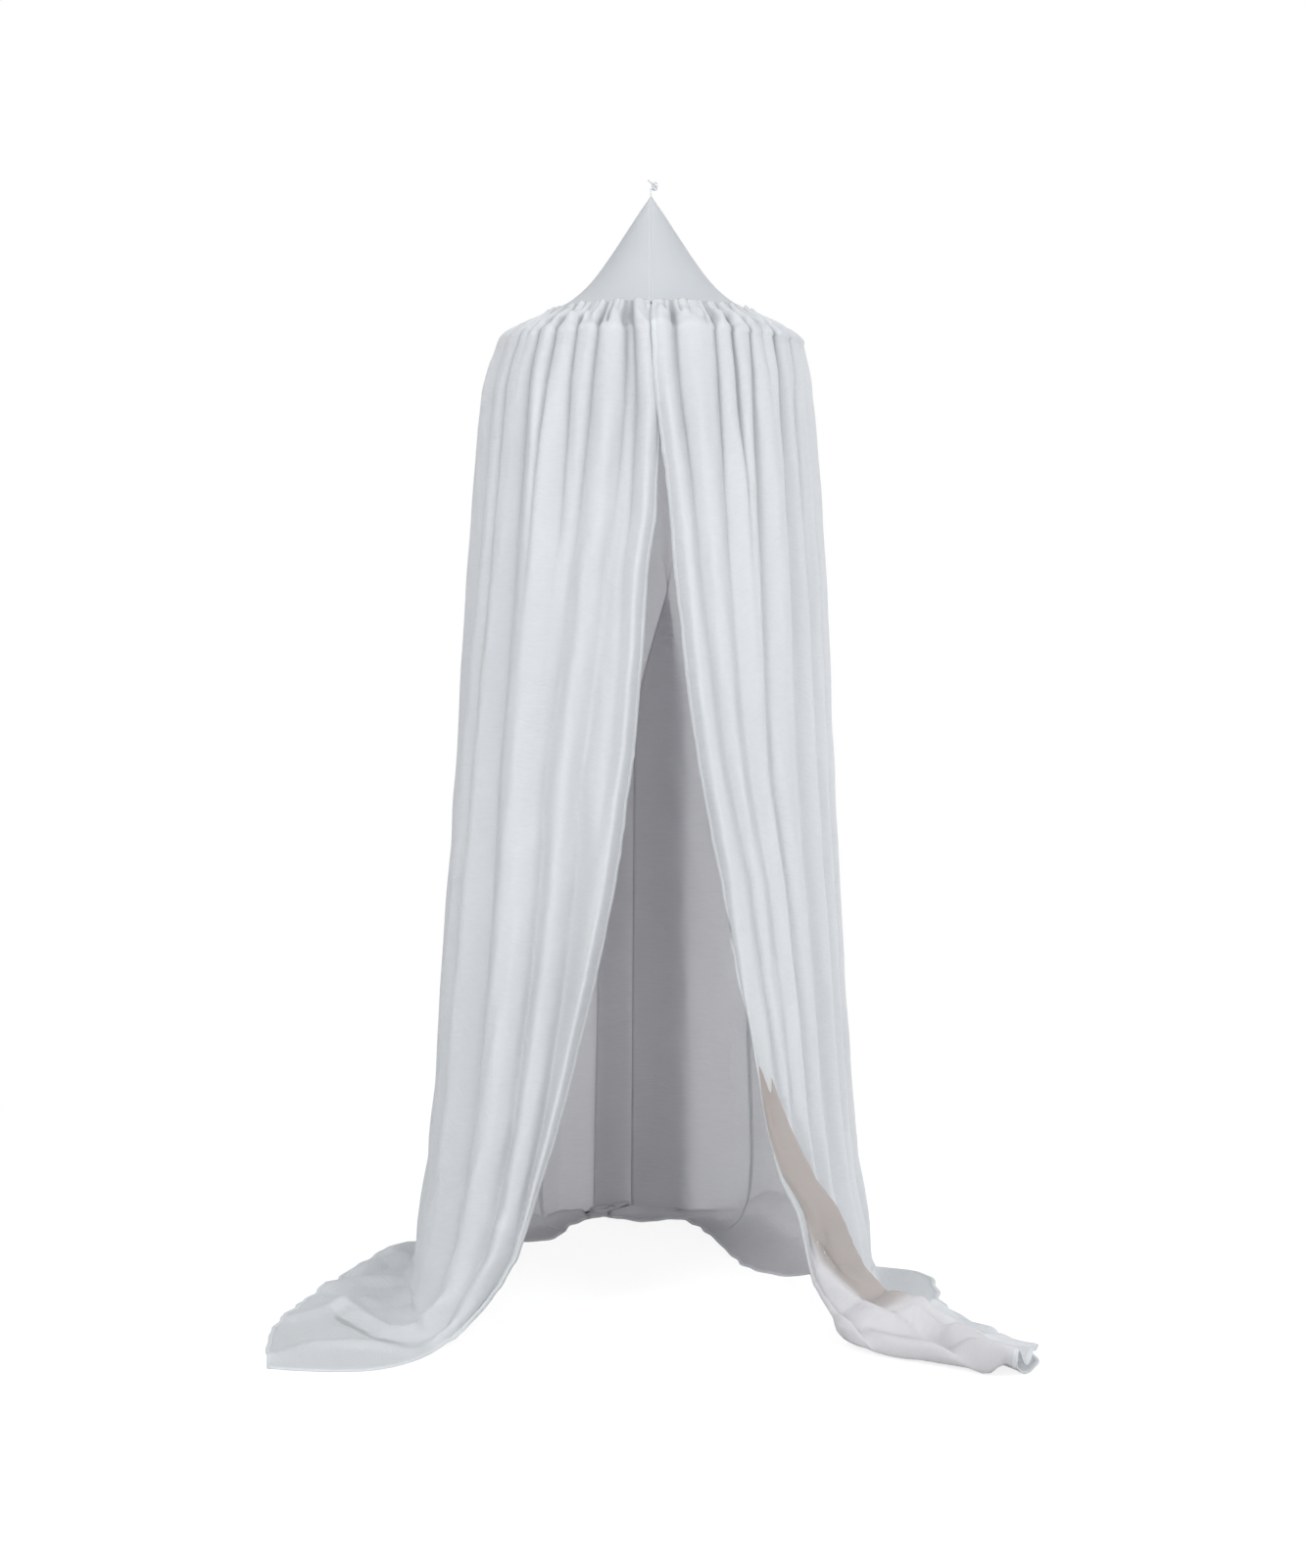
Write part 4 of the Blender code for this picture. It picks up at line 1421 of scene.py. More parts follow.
@dataclass
class Curtain:
    """The gathered curtain: three cloths from the crown's seam to the floor, with hems and seams."""

    sizes: CanopySizes
    envelope: Envelope
    finishes: Finishes
    lapel: Lapel = Lapel()
    pleat: LappedPleat = LappedPleat()
    slit_gap: float = 0.0040
    column_pitches: Table = ((96, 0.44), (106, 1.1), (145.9, 1.1), (146.1, 0.36))
    heading_rows: int = 28
    fall_rows: Table = ((0, 0.0), (22, 0.15), (70, 0.82), (100, 1.0))
    floor_rows: int = 40
    hem_width: float = 0.008
    hem_thickness: float = 0.0030
    hem_middle: float = 0.45
    hem_stitch: Pair = (0.22, 0.47)
    hem_steps: Pair = (1.5, 0.06)
    seam_width: float = 0.006
    seam_thickness: float = 0.0026
    seam_stitch: Pair = (0.26, 0.49)
    seam_step: float = 0.4
    sewn: Pair = (-0.9, 1.99)
    bend_start: Triple = (0.0, -0.26, 1.49)
    bend_slope: Triple = (0.24, -2.22, -0.476)
    main_folds: MainFolds = MainFolds()
    gathers: Gathers = Gathers()
    floor_folds: FloorFolds = FloorFolds()
    leaf_draw: LeafDraw = LeafDraw()
    cut_width: float = 2.50
    cut_length: float = 1.90
    tucks: Table = (
        (-1.0, 0.0004), (-0.9, 0.002), (-0.78, 0.004), (-0.61, 0.006), (-0.45, 0.007), (-0.28, 0.006),
        (-0.19, 0.003), (-0.12, 0.0006), (0.0, 0.0006), (0.05, 0.001), (0.09, 0.003), (0.8, 0.006),
        (1.0, 0.0),
    )
    # How much painted shade the gathers' creases get, down the cloth.
    crease_shade_rows: Table = (
        (-1.0, 0.8), (-0.7, 1.0), (0.0, 1.0), (0.06, 0.6), (0.3, 0.25), (0.6, 0.0),
    )
    pucker: float = 0.0010
    pucker_waves: RandomWaves = RandomWaves(41, 6.0, 12.0)
    pucker_from: Ramp = (-0.2, 0.4)
    pucker_to: Ramp = (0.9, 0.2)
    pucker_loss: float = 0.9
    fold_loss: float = 0.6
    floor_wave: float = 0.0006
    floor_waves: RandomWaves = RandomWaves(51, 14.0, 1.6)
    floor_from: Ramp = (1.0, 0.35)
    ruffle: float = 0.0022
    ruffle_level: float = 0.4
    ruffle_to: Ramp = (-1.0, 0.10)
    hem_ripple: float = 0.005
    ripple_waves: RandomWaves = RandomWaves(53, 9.0, 0.3)
    ripple_from: Ramp = (1.2, 0.8)
    edge_flatness: Pair = (0.15, 0.85)
    edge_soft: float = 5.0
    seam_half_gap: float = 0.06
    beyond_seam: float = 1.0
    fine_columns: int = 18001

    def __post_init__(self) -> None:
        """Get the machine stitches ready."""
        self.stitches = StitchRow(self.finishes)

    def edge_fade(self, angle: Array) -> Array:
        """Flatten the folds at the doorway's edges and the sewn seams.

        Args:
            angle: angles of the cloth in degrees.

        Returns:
            Share of the folds that is left.
        """
        edges = [0.0, 360.0, Panel.BACK.value[0], Panel.BACK.value[1]]
        nearest = np.min([np.abs(angle - edge) for edge in edges], axis=0)
        return self.edge_flatness[0] + self.edge_flatness[1] * ease(nearest / self.edge_soft)

    def surface(self, angle: Array, place: Array) -> Array:
        """Points of the folded cloth.

        Args:
            angle: angles of the cloth in degrees.
            place: places down the cloth.

        Returns:
            Points in metres.
        """
        main, push = self.main_folds.read(angle, place)
        fade = self.edge_fade(angle)
        gathered = self.gathers.height(angle, place)
        lift = (gathered + main) * fade - read_table(self.tucks, place)
        calm = ramp(place, *self.pucker_from) * (1.0 - self.pucker_loss * ramp(place, *self.pucker_to))
        lift += self.pucker * self.pucker_waves.read(angle, place) * calm
        turned = angle
        first, last = Panel.BACK.value
        on_right = angle.max() > last + self.beyond_seam
        if on_right:
            turned, rise = self.lapel.turn(angle, place)
            lift = lift * (1.0 - ease(rise / self.lapel.lift) * self.fold_loss) + rise
            lift = lift + self.floor_folds.flap_lift(angle, place)
        elif angle.min() > first - self.beyond_seam:
            turned, rise = self.pleat.turn(angle, place)
            lift = lift + rise
        points = self.envelope.read(self.envelope.grid, turned, place)
        normal = self.envelope.read(self.envelope.normals, turned, place)
        normal[..., 2] = np.abs(normal[..., 2])
        lift = lift + self.floor_folds.lift(points)
        waves = np.maximum(self.floor_waves.read(angle, place), 0.0)
        lift = lift + self.floor_wave * ramp(place, *self.floor_from) * waves
        points = points + normal * lift[..., None]
        level = outward(angle + 90.0)
        points[..., :2] += level * (push * fade)[..., None]
        ripple = self.hem_ripple * ramp(place, *self.ripple_from)
        ripple = ripple * self.ripple_waves.read(angle, place)
        points[..., :2] += outward(turned) * ripple[..., None]
        if on_right:
            points += self.lapel.spread(angle, place)
        points = self.leaf_draw.draw(points, normal, angle, place)
        top = 1.0 - ramp(place, *self.ruffle_to)
        ruffle = gathered / self.gathers.heights[0][1] - self.ruffle_level
        points[..., 2] += top * self.ruffle * ruffle * fade
        points[..., 2] = np.maximum(points[..., 2], -self.sizes.floor_drop + self.sizes.cloth / 2)
        return points

    def places(self) -> Array:
        """Places of the cloth's rows.

        Returns:
            Places from -1 at the seam to 2 at the hem.
        """
        return np.concatenate([
            np.linspace(-1.0, 0.0, self.heading_rows + 1)[:-1],
            read_table(self.fall_rows, np.arange(self.fall_rows[-1][0])),
            np.linspace(1.0, 2.0, self.floor_rows + 1),
        ])

    def panel_angles(self, panel: Panel) -> Array:
        """Angles of one cloth's columns.

        Args:
            panel: the cloth.

        Returns:
            Angles in degrees.
        """
        first, last = panel.value
        gap = math.degrees(self.slit_gap / 2 / self.sizes.hoop_radius)
        first += gap if panel is Panel.LEFT else self.seam_half_gap
        last -= gap if panel is Panel.RIGHT else self.seam_half_gap
        fine = np.linspace(0.0, 360.0, self.fine_columns)
        pitch = read_table(self.column_pitches, np.minimum(fine, 360.0 - fine))
        number = np.cumsum((fine[1] - fine[0]) / pitch)
        ends = np.interp((first, last), fine, number)
        return np.interp(np.linspace(*ends, round(ends[1] - ends[0]) + 1), number, fine)

    def build_panel(self, panel: Panel) -> Piece:
        """Make one cloth of the curtain.

        Args:
            panel: the cloth.

        Returns:
            The new piece.
        """
        angle, place = np.meshgrid(self.panel_angles(panel), self.places())
        points = self.surface(angle, place)
        down = np.stack([path_length(points[:, column]) for column in range(points.shape[1])], 1)
        across = angle / 360.0 * self.cut_width
        name = panel.part("curtain")
        # The inside face is drawn with the painted-shade copy of the gauze.
        cloth = MeshPieces.cloth(name, points, np.stack([across, down], -1), self.sizes.cloth,
                                 self.finishes.gauze, self.finishes.shaded_inside)
        # Painted shade: the gathers' creases are marked for darker colour, most under the seam.
        marks = {"cavity": self.gathers.valley(angle, place) ** 2 * read_table(self.crease_shade_rows, place)}
        # Painted shade on the right leaf's turned-back lapel.
        if panel is Panel.RIGHT:
            marks["painted_lapel_shade"] = self.lapel.lapel_shade_share(angle, place)
        for mark, values in marks.items():
            layer = cloth.data.attributes.new(mark, "FLOAT", "POINT")
            layer.data.foreach_set("value", np.tile(values.ravel(), 2))
        return cloth

    def build_edge(self, name: str, angle: Array, place: Array, inner_angle: Array,
                   inner_place: Array) -> list[Piece]:
        """Make a hem along an edge of the cloth.

        Args:
            name: name of the hem.
            angle: angles along the edge.
            place: places along the edge.
            inner_angle: angles a little inside the edge.
            inner_place: places a little inside the edge.

        Returns:
            The hem and its stitches.
        """
        edge = self.surface(angle[None], place[None])[0]
        inside = self.surface(inner_angle[None], inner_place[None])[0]
        across = unit(inside - edge)
        lift = unit(np.cross(np.gradient(edge, axis=0), across))
        centre = edge + across * self.hem_width * self.hem_middle
        centre[:, 2] = np.maximum(centre[:, 2], -self.sizes.floor_drop + self.hem_thickness / 2)
        hem = MeshPieces.strip(name, centre, across, lift, self.hem_width, self.hem_thickness,
                               self.finishes.hem)
        inwards, off = self.hem_stitch
        inner = centre + across * self.hem_width * inwards
        rows = [inner + lift * side * self.hem_thickness * off for side in (-1.0, 1.0)]
        return [hem, self.stitches.build(name + "_stitches", rows)]

    def build_seam(self, name: str, angle: float, place: Array) -> list[Piece]:
        """Make the felled seam between two of the cloths, with its stitches.

        Args:
            name: name of the seam.
            angle: its angle.
            place: places along it.

        Returns:
            The seam and its stitches.
        """
        spread = np.array([-self.seam_step, 0.0, self.seam_step])
        beside, down = np.meshgrid(angle + spread, place)
        rows = self.surface(beside, down)
        centre, across = rows[:, 1], unit(rows[:, 2] - rows[:, 0])
        lift = unit(np.cross(np.gradient(centre, axis=0), across))
        seam = MeshPieces.strip(name, centre, across, lift, self.seam_width, self.seam_thickness,
                                self.finishes.hem)
        aside, off = self.seam_stitch
        paths = [centre + across * part * self.seam_width + lift * side * self.seam_thickness * off
                 for part in (-aside, aside) for side in (-1.0, 1.0)]
        return [seam, self.stitches.build(name + "_stitches", paths)]

    def build(self) -> list[Piece]:
        """Make the whole curtain and attach its back cloth to the canopy.

        Returns:
            The cloths, then their hems, seams and stitches.
        """
        places = self.places()
        below = places[places > self.sewn[0]]
        edge_step, hem_step = self.hem_steps
        pieces = {panel: self.build_panel(panel) for panel in Panel}
        hems = {}
        for panel in Panel:
            angles = self.panel_angles(panel)
            bottom = np.full(len(angles), 2.0)
            hems[panel] = self.build_edge(panel.part("bottom_hem"), angles, bottom, angles,
                                          bottom - hem_step)
        for panel, column, step in ((Panel.LEFT, 0, edge_step), (Panel.RIGHT, -1, -edge_step)):
            edge = np.full(len(below), self.panel_angles(panel)[column])
            hems[panel] += self.build_edge(panel.part("slit_hem"), edge, below, edge + step, below)
        for name, edge in zip(("left_back_seam", "right_back_seam"), Panel.BACK.value):
            hems[Panel.BACK] += self.build_seam(name, edge, below[below < self.sewn[1]])
        for panel in Panel:
            self.join_bodies(panel, [pieces[panel], *hems[panel]])
        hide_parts("left_front_heading", "left_leaf", "left_side_panel")
        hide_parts("back_panel")
        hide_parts("right_front_heading", "right_leaf", "right_side_panel")
        return [*pieces.values(), *(piece for panel in Panel for piece in hems[panel])]

    def join_bodies(self, panel: Panel, pieces: list[Piece]) -> None:
        """Attach the back cloth to the canopy's body, and bake the front cloths' placement into their
        points; the bend's start and slope are worked out but not used.

        Args:
            panel: the cloth.
            pieces: the cloth with its hems and seams.
        """
        slope = Vector(self.bend_slope)
        if panel is Panel.RIGHT:
            slope.x = -slope.x
        x, y, height = self.bend_start
        for piece in pieces:
            if panel is Panel.BACK:
                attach(piece, "canopy")
            else:
                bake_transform(piece)


@dataclass
class Crown:
    """The pointed jersey crown, sewn from four gores."""

    sizes: CanopySizes
    finishes: Finishes
    straightness: float = 0.76
    flare: float = 7.0
    flatness: float = 0.030
    flat_power: float = 4.0
    merge: float = 0.00001
    jersey: float = 0.0010
    groove: float = 0.0011
    groove_width: float = 0.0035
    stitch_off: float = 0.0030
    stitched: Pair = (0.10, 0.965)
    stitch_steps: int = 80
    edge_stitch: float = 0.975
    edge_steps: int = 721
    flat: Pair = (1.074, 0.257)
    area: float = 0.130
    tip_play: float = 0.0009
    columns: int = 241
    rows: int = 49

    @property
    def tip_radius(self) -> float:
        """Radius of the crown round the cord."""
        return self.sizes.cord_diameter / 2 + self.tip_play

    def shape_tree(self) -> bpy.types.NodeTree:
        """Geometry nodes that bend a flat grid to the crown.

        Returns:
            The node group.
        """
        tree = bpy.data.node_groups.new("crown_shape", "GeometryNodeTree")
        bench = NodeBench(tree)
        given = bench.group(("Tip Radius", "Seam Radius", "Tip Drop", "Seam Drop", "Straightness", "Flare",
                             "Flatness", "Groove", "Groove Width"))
        maths, times, less = bench.maths, bench.times, bench.less
        grid = bench.first("GeometryNodeMeshGrid", {
            "Size X": 1.0, "Size Y": 1.0, "Vertices X": self.columns, "Vertices Y": self.rows,
        })
        place = bench.add("ShaderNodeSeparateXYZ", {0: bench.first("GeometryNodeInputPosition")}).outputs
        across, share = (maths("ADD", place[part], 0.5) for part in (0, 1))
        turn = times(across, 2.0 * math.pi)
        flare = maths("POWER", share, given["Flare"])
        hollow = less(1.0, given["Straightness"])
        curve = maths("MULTIPLY_ADD", hollow, flare, times(given["Straightness"], share))
        span = less(given["Seam Radius"], given["Tip Radius"])
        radius = maths("MULTIPLY_ADD", span, curve, given["Tip Radius"])
        quarter = maths("ABSOLUTE", maths("SINE", times(turn, 2.0)))
        fade = less(1.0, maths("POWER", share, self.flat_power))
        flat = times(quarter, times(given["Flatness"], fade))
        radius = times(radius, less(1.0, flat))
        off_seam = times(quarter, times(radius, 0.5))
        near = maths("DIVIDE", off_seam, given["Groove Width"])
        dip = maths("EXPONENT", times(maths("POWER", near, 2.0), -1.0))
        radius = less(radius, times(dip, given["Groove"]))
        depth = less(given["Seam Drop"], given["Tip Drop"])
        height = maths("MULTIPLY_ADD", depth, share, given["Tip Drop"])
        point = bench.first("ShaderNodeCombineXYZ", {
            0: times(times(radius, maths("SINE", turn)), -1.0),
            1: times(times(radius, maths("COSINE", turn)), -1.0),
            2: times(height, -1.0),
        })
        wide, high = self.flat
        uv = bench.first("ShaderNodeCombineXYZ", {0: times(across, wide), 1: times(share, high)})
        kept = bench.first("GeometryNodeStoreNamedAttribute", {
            "Geometry": grid, "Name": "UVMap", "Value": uv,
        }, data_type="FLOAT2", domain="CORNER")
        bent = bench.first("GeometryNodeSetPosition", {"Geometry": kept, "Position": point})
        closed = bench.first("GeometryNodeMergeByDistance", {"Geometry": bent, "Distance": self.merge})
        bench.close_group(closed, given["Material"])
        return tree

    def outside(self, angle: Array, share: Array) -> Array:
        """Points on the crown's outer side, by the rule that its nodes follow.

        Args:
            angle: angles in degrees.
            share: share of the way from the tip to the seam.

        Returns:
            One point for each angle and share.
        """
        tip = self.tip_radius
        curve = self.straightness * share + (1.0 - self.straightness) * share ** self.flare
        quarter = np.abs(np.sin(2.0 * np.radians(angle)))
        radius = tip + (self.sizes.seam_radius - tip) * curve
        flat = quarter * self.flatness * (1.0 - share ** self.flat_power)
        radius = radius * (1.0 - flat) + self.jersey / 2
        drop = self.sizes.tip_drop + (self.sizes.seam_drop - self.sizes.tip_drop) * share
        return around(angle, radius, -drop)

    def sew(self) -> Piece:
        """Topstitch the gores' seams and the edge that the curtain is sewn to.

        Returns:
            All the stitches as one piece.
        """
        share = np.linspace(*self.stitched, self.stitch_steps)
        paths = []
        for seam in (0.0, 90.0, 180.0, 270.0):
            ridge = self.outside(np.full(len(share), seam), share)[:, :2] @ outward(np.array(seam))
            off = np.degrees(self.stitch_off / np.maximum(ridge, 0.01))
            paths += [self.outside(seam + side * off, share) for side in (-1.0, 1.0)]
        edge = np.linspace(0.0, 360.0, self.edge_steps)
        paths.append(self.outside(edge, np.full(len(edge), self.edge_stitch)))
        stitches = StitchRow(self.finishes).build("crown_stitches", paths)
        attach(stitches, "canopy")
        return stitches

    def build(self) -> list[Piece]:
        """Make the crown and fit it to the canopy.

        Returns:
            The crown and its stitches.
        """
        source = add_object("crown_source", bpy.data.meshes.new("crown_source"))
        modifier = source.modifiers.new("shape", "NODES")
        modifier.node_group = self.shape_tree()
        set_inputs(modifier, {
            "Tip Radius": self.tip_radius, "Seam Radius": self.sizes.seam_radius,
            "Tip Drop": self.sizes.tip_drop, "Seam Drop": self.sizes.seam_drop,
            "Straightness": self.straightness, "Flare": self.flare, "Flatness": self.flatness,
            "Groove": self.groove, "Groove Width": self.groove_width, "Material": self.finishes.jersey,
        })
        wall = source.modifiers.new("cloth", "SOLIDIFY")
        wall.thickness, wall.offset, wall.material_offset = self.jersey, 0.0, 1
        crown = plain_mesh(source, "crown")
        crown.data.materials.clear()
        crown.data.materials.append(self.finishes.jersey)
        crown.data.materials.append(self.finishes.jersey_back)
        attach(crown, "canopy")
        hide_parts(*(f"crown_gore_{end}_{side}" for end in ("front", "back")
                             for side in ("left", "right")))
        return [crown, self.sew()]


@dataclass
class SeamTape:
    """The woven tape that holds the gathers, inside the seam of crown and curtain."""

    sizes: CanopySizes
    finishes: Finishes
    width: float = 0.010
    thickness: float = 0.0006
    top_radius: float = 0.1605
    below_seam: float = 0.0035
    slope: float = 38.0
    opening: float = 0.15
    ripple: float = 0.0004
    waves: RandomWaves = RandomWaves(81, 5.0, 20.0)
    columns: int = 480
    rows: int = 4

    def build(self) -> list[Piece]:
        """Make the tape and fit it to the canopy.

        Returns:
            The tape.
        """
        angle, down = np.meshgrid(np.linspace(self.opening, 360.0 - self.opening, self.columns),
                                  np.linspace(0.0, self.width, self.rows))
        radius = self.top_radius + down * math.cos(math.radians(self.slope))
        radius = radius + self.ripple * self.waves.read(angle, down)
        height = -self.sizes.seam_drop - self.below_seam - down * math.sin(math.radians(self.slope))
        points = around(angle, radius, height)
        uv = np.stack([np.radians(angle) * self.top_radius, down], -1)
        finish = self.finishes.tape
        tape = MeshPieces.cloth("seam_tape", points, uv, self.thickness, finish, finish)
        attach(tape, "canopy")
        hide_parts("gather_tape")
        return [tape]


@dataclass
class HoopChannel:
    """The cloth channel round the hoop, ruched, open at the back where the tubes are pushed in."""

    sizes: CanopySizes
    finishes: Finishes
    cloth: float = 0.0006
    mouth: float = 5.0
    wrap: float = 350.0
    ruche: float = 0.0004
    waves: RandomWaves = RandomWaves(83, 1.6)
    wave_turn: float = 400.0
    columns: int = 900
    rows: int = 16
    tubes: tuple[int, ...] = (1, 2, 3, 4)

    def build(self) -> list[Piece]:
        """Make the channel and dress the hoop inside it.

        Returns:
            The channel.
        """
        angle, turn = np.meshgrid(np.linspace(180.0 + self.mouth, 540.0 - self.mouth, self.columns),
                                  np.linspace(90.0 + self.wrap, 90.0, self.rows))
        middle = self.sizes.channel_radius - self.cloth / 2
        radius = middle - self.ruche * np.abs(self.waves.read(angle, turn / self.wave_turn))
        radius = np.maximum(radius, middle - self.ruche)
        away = np.cos(np.radians(turn)) * radius
        height = -self.sizes.hoop_drop + np.sin(np.radians(turn)) * radius
        points = around(angle, self.sizes.hoop_radius + away, height)
        uv = np.stack([np.radians(angle) * self.sizes.hoop_radius, np.radians(turn) * middle], -1)
        channel = MeshPieces.cloth("hoop_channel_cloth", points, uv, self.cloth, self.finishes.gauze,
                                   self.finishes.gauze)
        MeshPieces.face_outwards(channel)
        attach(channel, "canopy")
        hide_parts("hoop_channel")
        [f"hoop_tube_{count}" for count in self.tubes]
        for count in self.tubes:
            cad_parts[f"hoop_tube_{count}"].material_slots[0].material = self.finishes.tube
            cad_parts[f"hoop_joiner_{count}"].material_slots[0].material = self.finishes.joiner
        return [channel]


@dataclass
class HangingCord:
    """The cord that carries the canopy: out of the crown, through an overhand knot, to a short tail."""

    sizes: CanopySizes
    finishes: Finishes
    ring: float = 0.0043
    loop: float = 0.0022
    depth: float = 0.0021
    bend: float = 0.0026
    opening: float = 30.0
    tail: float = 0.010
    tail_slope: float = 41.0
    inside: float = 0.016
    tail_from: float = 0.06
    stem_from: float = 0.05
    tail_steps: int = 12
    knot_steps: int = 200
    entry_steps: int = 25
    stem_steps: int = 16
    route_steps: int = 260
    sides: int = 20

    def route(self) -> Array:
        """Points from the crown's inside up through the knot to the tail.

        Returns:
            Evenly spaced points.
        """
        opening = math.radians(self.opening)
        turn = np.linspace(opening, 2.0 * math.pi - opening, self.knot_steps)
        reach = self.ring + self.loop * np.cos(3.0 * turn)
        middle = np.array([self.bend + self.ring * math.cos(2.0 * opening), 0.0,
                           self.bend + self.ring * math.sin(2.0 * opening)])
        knot = middle + np.stack([-reach * np.cos(2.0 * turn), self.depth * np.sin(3.0 * turn),
                                  reach * np.sin(2.0 * turn)], axis=1)
        slope = math.radians(self.tail_slope)
        away = np.array([-math.cos(slope), 0.0, math.sin(slope)]) * self.tail
        tail = knot[0] + away * np.linspace(1.0, self.tail_from, self.tail_steps)[:, None]
        swing = np.linspace(0.0, math.pi / 2, self.entry_steps)[1:]
        aside = -self.depth * (1.0 - ease(swing / (math.pi / 2)))
        entry = np.stack([self.bend * (1.0 - np.sin(swing)), aside, self.bend * np.cos(swing)], axis=1)
        down = -(self.sizes.tip_drop + self.inside)
        shares = np.linspace(self.stem_from, 1.0, self.stem_steps)
        stem = np.array([[0.0, 0.0, down * share] for share in shares])
        rough = np.concatenate([tail, knot, entry, stem])[::-1]
        along = path_length(rough)
        even = np.linspace(0.0, along[-1], self.route_steps)
        return np.column_stack([np.interp(even, along, rough[:, part]) for part in range(3)])

    def build(self) -> list[Piece]:
        """Returns:
            The cord.
        """
        route = self.route()
        ahead = unit(np.gradient(route, axis=0))
        side = np.zeros_like(route)
        side[0] = (1.0, 0.0, 0.0)
        for step in range(1, len(route)):
            kept = side[step - 1] - ahead[step] * (side[step - 1] @ ahead[step])
            side[step] = kept / np.linalg.norm(kept)
        other = np.cross(ahead, side)
        turn = np.linspace(0.0, 2.0 * math.pi, self.sides, endpoint=False)
        radius = self.sizes.cord_diameter / 2
        rings = (route[:, None] + radius * (np.cos(turn)[None, :, None] * side[:, None]
                                            + np.sin(turn)[None, :, None] * other[:, None]))
        length = path_length(route)
        uv = np.stack(np.broadcast_arrays(turn[None] * radius, length[:, None]), -1)
        cord = MeshPieces.tube("hanging_cord_braid", rings, uv, self.finishes.cord)
        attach(cord, "hanger")
        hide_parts("hanging_cord")
        return [cord]


def set_inputs(modifier: bpy.types.Modifier, values: dict[str, object]) -> None:
    """Set a node modifier's inputs by their sockets' identifiers.

    Args:
        modifier: the modifier.
        values: value for each socket's name.
    """
    for item in modifier.node_group.interface.items_tree:
        if item.in_out == "INPUT" and item.name in values:
            modifier[item.identifier] = values[item.name]


def plain_mesh(source: Piece, name: str) -> Piece:
    """Turn an object with modifiers into a plain mesh piece and remove the object.

    Args:
        source: the object.
        name: name of the piece.

    Returns:
        The new piece.
    """
    bpy.context.view_layer.update()
    graph = bpy.context.evaluated_depsgraph_get()
    mesh = bpy.data.meshes.new_from_object(source.evaluated_get(graph), depsgraph=graph)
    mesh.name = name
    bpy.data.objects.remove(source)
    return add_object(name, mesh)


@dataclass(frozen=True)
class Lamp:
    """Square area lamp that faces the canopy."""

    name: str
    place: Triple
    side: float
    watts: float
    aim: Triple = (0.0, 0.0, -0.9)

    def build(self) -> None:
        """Put the lamp in its place."""
        data = bpy.data.lights.new(self.name, "AREA")
        data.size, data.energy = self.side, self.watts
        lamp = add_object(self.name, data)
        lamp.location = self.place
        ahead = Vector(self.aim) - Vector(self.place)
        lamp.rotation_euler = ahead.to_track_quat("-Z", "Y").to_euler()


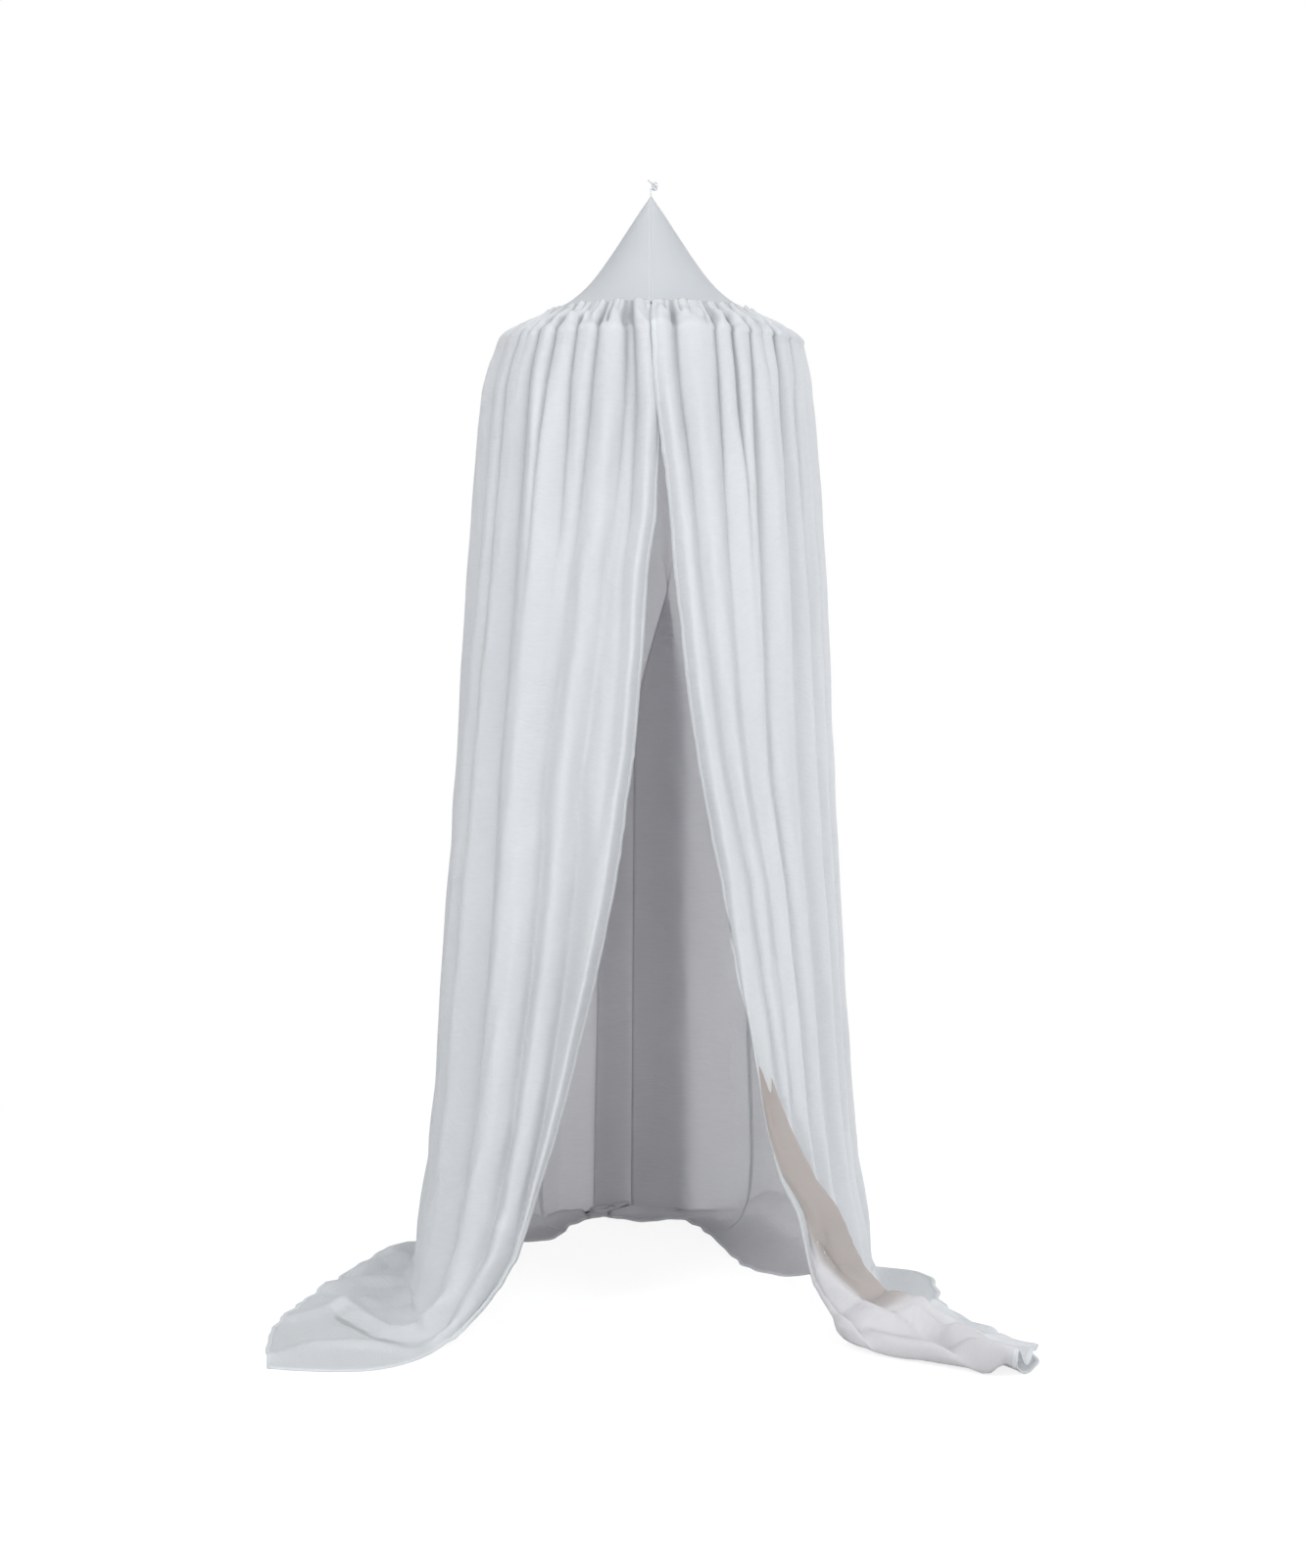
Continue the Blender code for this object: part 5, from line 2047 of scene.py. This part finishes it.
@dataclass
class Studio:
    """Camera, floor, white surroundings and soft lamps."""

    floor_height: float = -1.760
    camera_place: Triple = (0.0032, -3.54, -0.663)
    lens: float = 50.0
    sensor: float = 36.0
    sight: float = 60.0
    shift: float = -0.11875
    sky: float = 0.44
    sky_colour: Colour = (0.96, 0.98, 1.0)
    floor_size: float = 14.0
    floor_grey: float = 0.30
    floor_bounce: float = 0.62
    floor_glow: float = 0.80
    shadow_reach: Pair = (0.9, 1.8)
    lamps: tuple[Lamp, ...] = (
        Lamp("key_lamp", (-2.4, -3.3, 1.8), 1.4, 98.0),
        Lamp("front_lamp", (0.8, -4.2, 0.8), 1.6, 44.0),
        Lamp("fill_lamp", (2.8, -2.6, 1.3), 1.4, 66.0),
        Lamp("low_lamp", (-1.4, -3.5, -1.25), 0.9, 11.0),
        Lamp("top_lamp", (0.0, -0.9, 2.4), 2.4, 15.0),
        Lamp("back_left_lamp", (-2.0, 2.4, -0.3), 1.4, 15.0),
        Lamp("back_right_lamp", (2.6, 1.0, -1.1), 1.3, 34.0),
    )

    def build(self) -> None:
        """Set the studio up."""
        self.add_camera()
        self.add_floor()
        self.add_world()
        for lamp in self.lamps:
            lamp.build()
        bpy.context.scene.view_settings.view_transform = "Standard"

    @staticmethod
    def grey(value: float) -> tuple[float, ...]:
        """A grey as a colour socket takes it."""
        return (value, value, value, 1.0)

    def add_camera(self) -> None:
        """Level camera at the photograph's place, framed a little low."""
        data = bpy.data.cameras.new("camera")
        data.lens, data.sensor_width, data.clip_end = self.lens, self.sensor, self.sight
        data.shift_y = self.shift
        camera = add_object("camera", data)
        camera.location = self.camera_place
        camera.rotation_euler = (math.pi / 2, 0.0, 0.0)
        bpy.context.scene.camera = camera

    def add_floor(self) -> None:
        """Pale floor that shows white to the camera and keeps the canopy's shadow."""
        size = self.floor_size
        corners = [(-size, -size), (size, -size), (size, size), (-size, size)]
        points = np.array([(x, y, self.floor_height) for x, y in corners])
        material = bpy.data.materials.new("floor")
        material.use_nodes = True
        bench = NodeBench(material.node_tree)
        seen = bench.first("ShaderNodeBsdfDiffuse", {"Color": self.grey(self.floor_grey)})
        glow = bench.first("ShaderNodeEmission", {"Color": self.grey(1.0), "Strength": self.floor_glow})
        near = bench.first("ShaderNodeAddShader", {0: seen, 1: glow})
        white = bench.first("ShaderNodeEmission", {"Color": self.grey(1.0), "Strength": 1.0})
        where = bench.add("ShaderNodeTexCoord").outputs["Object"]
        reach = bench.add("ShaderNodeVectorMath", {0: where, 1: (0.0, 0.0, self.floor_height)},
                          operation="DISTANCE").outputs["Value"]
        low, high = self.shadow_reach
        far = bench.first("ShaderNodeMapRange", {0: reach, 1: low, 2: high},
                          interpolation_type="SMOOTHSTEP")
        shown = bench.first("ShaderNodeMixShader", {0: far, 1: near, 2: white})
        real = bench.first("ShaderNodeBsdfDiffuse", {"Color": self.grey(self.floor_bounce)})
        direct = bench.add("ShaderNodeLightPath").outputs["Is Camera Ray"]
        mix = bench.first("ShaderNodeMixShader", {0: direct, 1: real, 2: shown})
        bench.add("ShaderNodeOutputMaterial", {"Surface": mix})
        floor = MeshPieces.from_faces("floor", points, [[0, 1, 2, 3]], points[:, :2], [material])

    def add_world(self) -> None:
        """Soft even light that looks white to the camera."""
        world = bpy.data.worlds.new("studio")
        world.use_nodes = True
        bpy.context.scene.world = world
        bench = NodeBench(world.node_tree)
        colour = (*self.sky_colour, 1.0)
        light = bench.first("ShaderNodeBackground", {"Color": colour, "Strength": self.sky})
        white = bench.first("ShaderNodeBackground", {"Color": self.grey(1.0), "Strength": 1.0})
        path = bench.add("ShaderNodeLightPath").outputs
        seen = bench.maths("MAXIMUM", path["Is Camera Ray"], path["Is Glossy Ray"])
        seen = bench.maths("MAXIMUM", seen, path["Is Transmission Ray"])
        mix = bench.first("ShaderNodeMixShader", {0: seen, 1: light, 2: white})
        bench.add("ShaderNodeOutputWorld", {"Surface": mix})


def write_sizes() -> None:
    """Bring the scene up to date."""
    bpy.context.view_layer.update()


def main() -> None:
    """Build the studio and the canopy's sub-assemblies in order, and report each piece."""
    logging.basicConfig(level=logging.INFO, format="%(message)s")
    Studio().build()
    sizes, finishes = CanopySizes(), Finishes()
    for assembly in (HangingCord(sizes, finishes), Crown(sizes, finishes), SeamTape(sizes, finishes),
                     HoopChannel(sizes, finishes), Curtain(sizes, Envelope(sizes), finishes)):
        for piece in assembly.build():
            LOG.info("%s: %d faces", piece.name, len(piece.data.polygons))
    write_sizes()


if __name__ == "__main__":
    main()
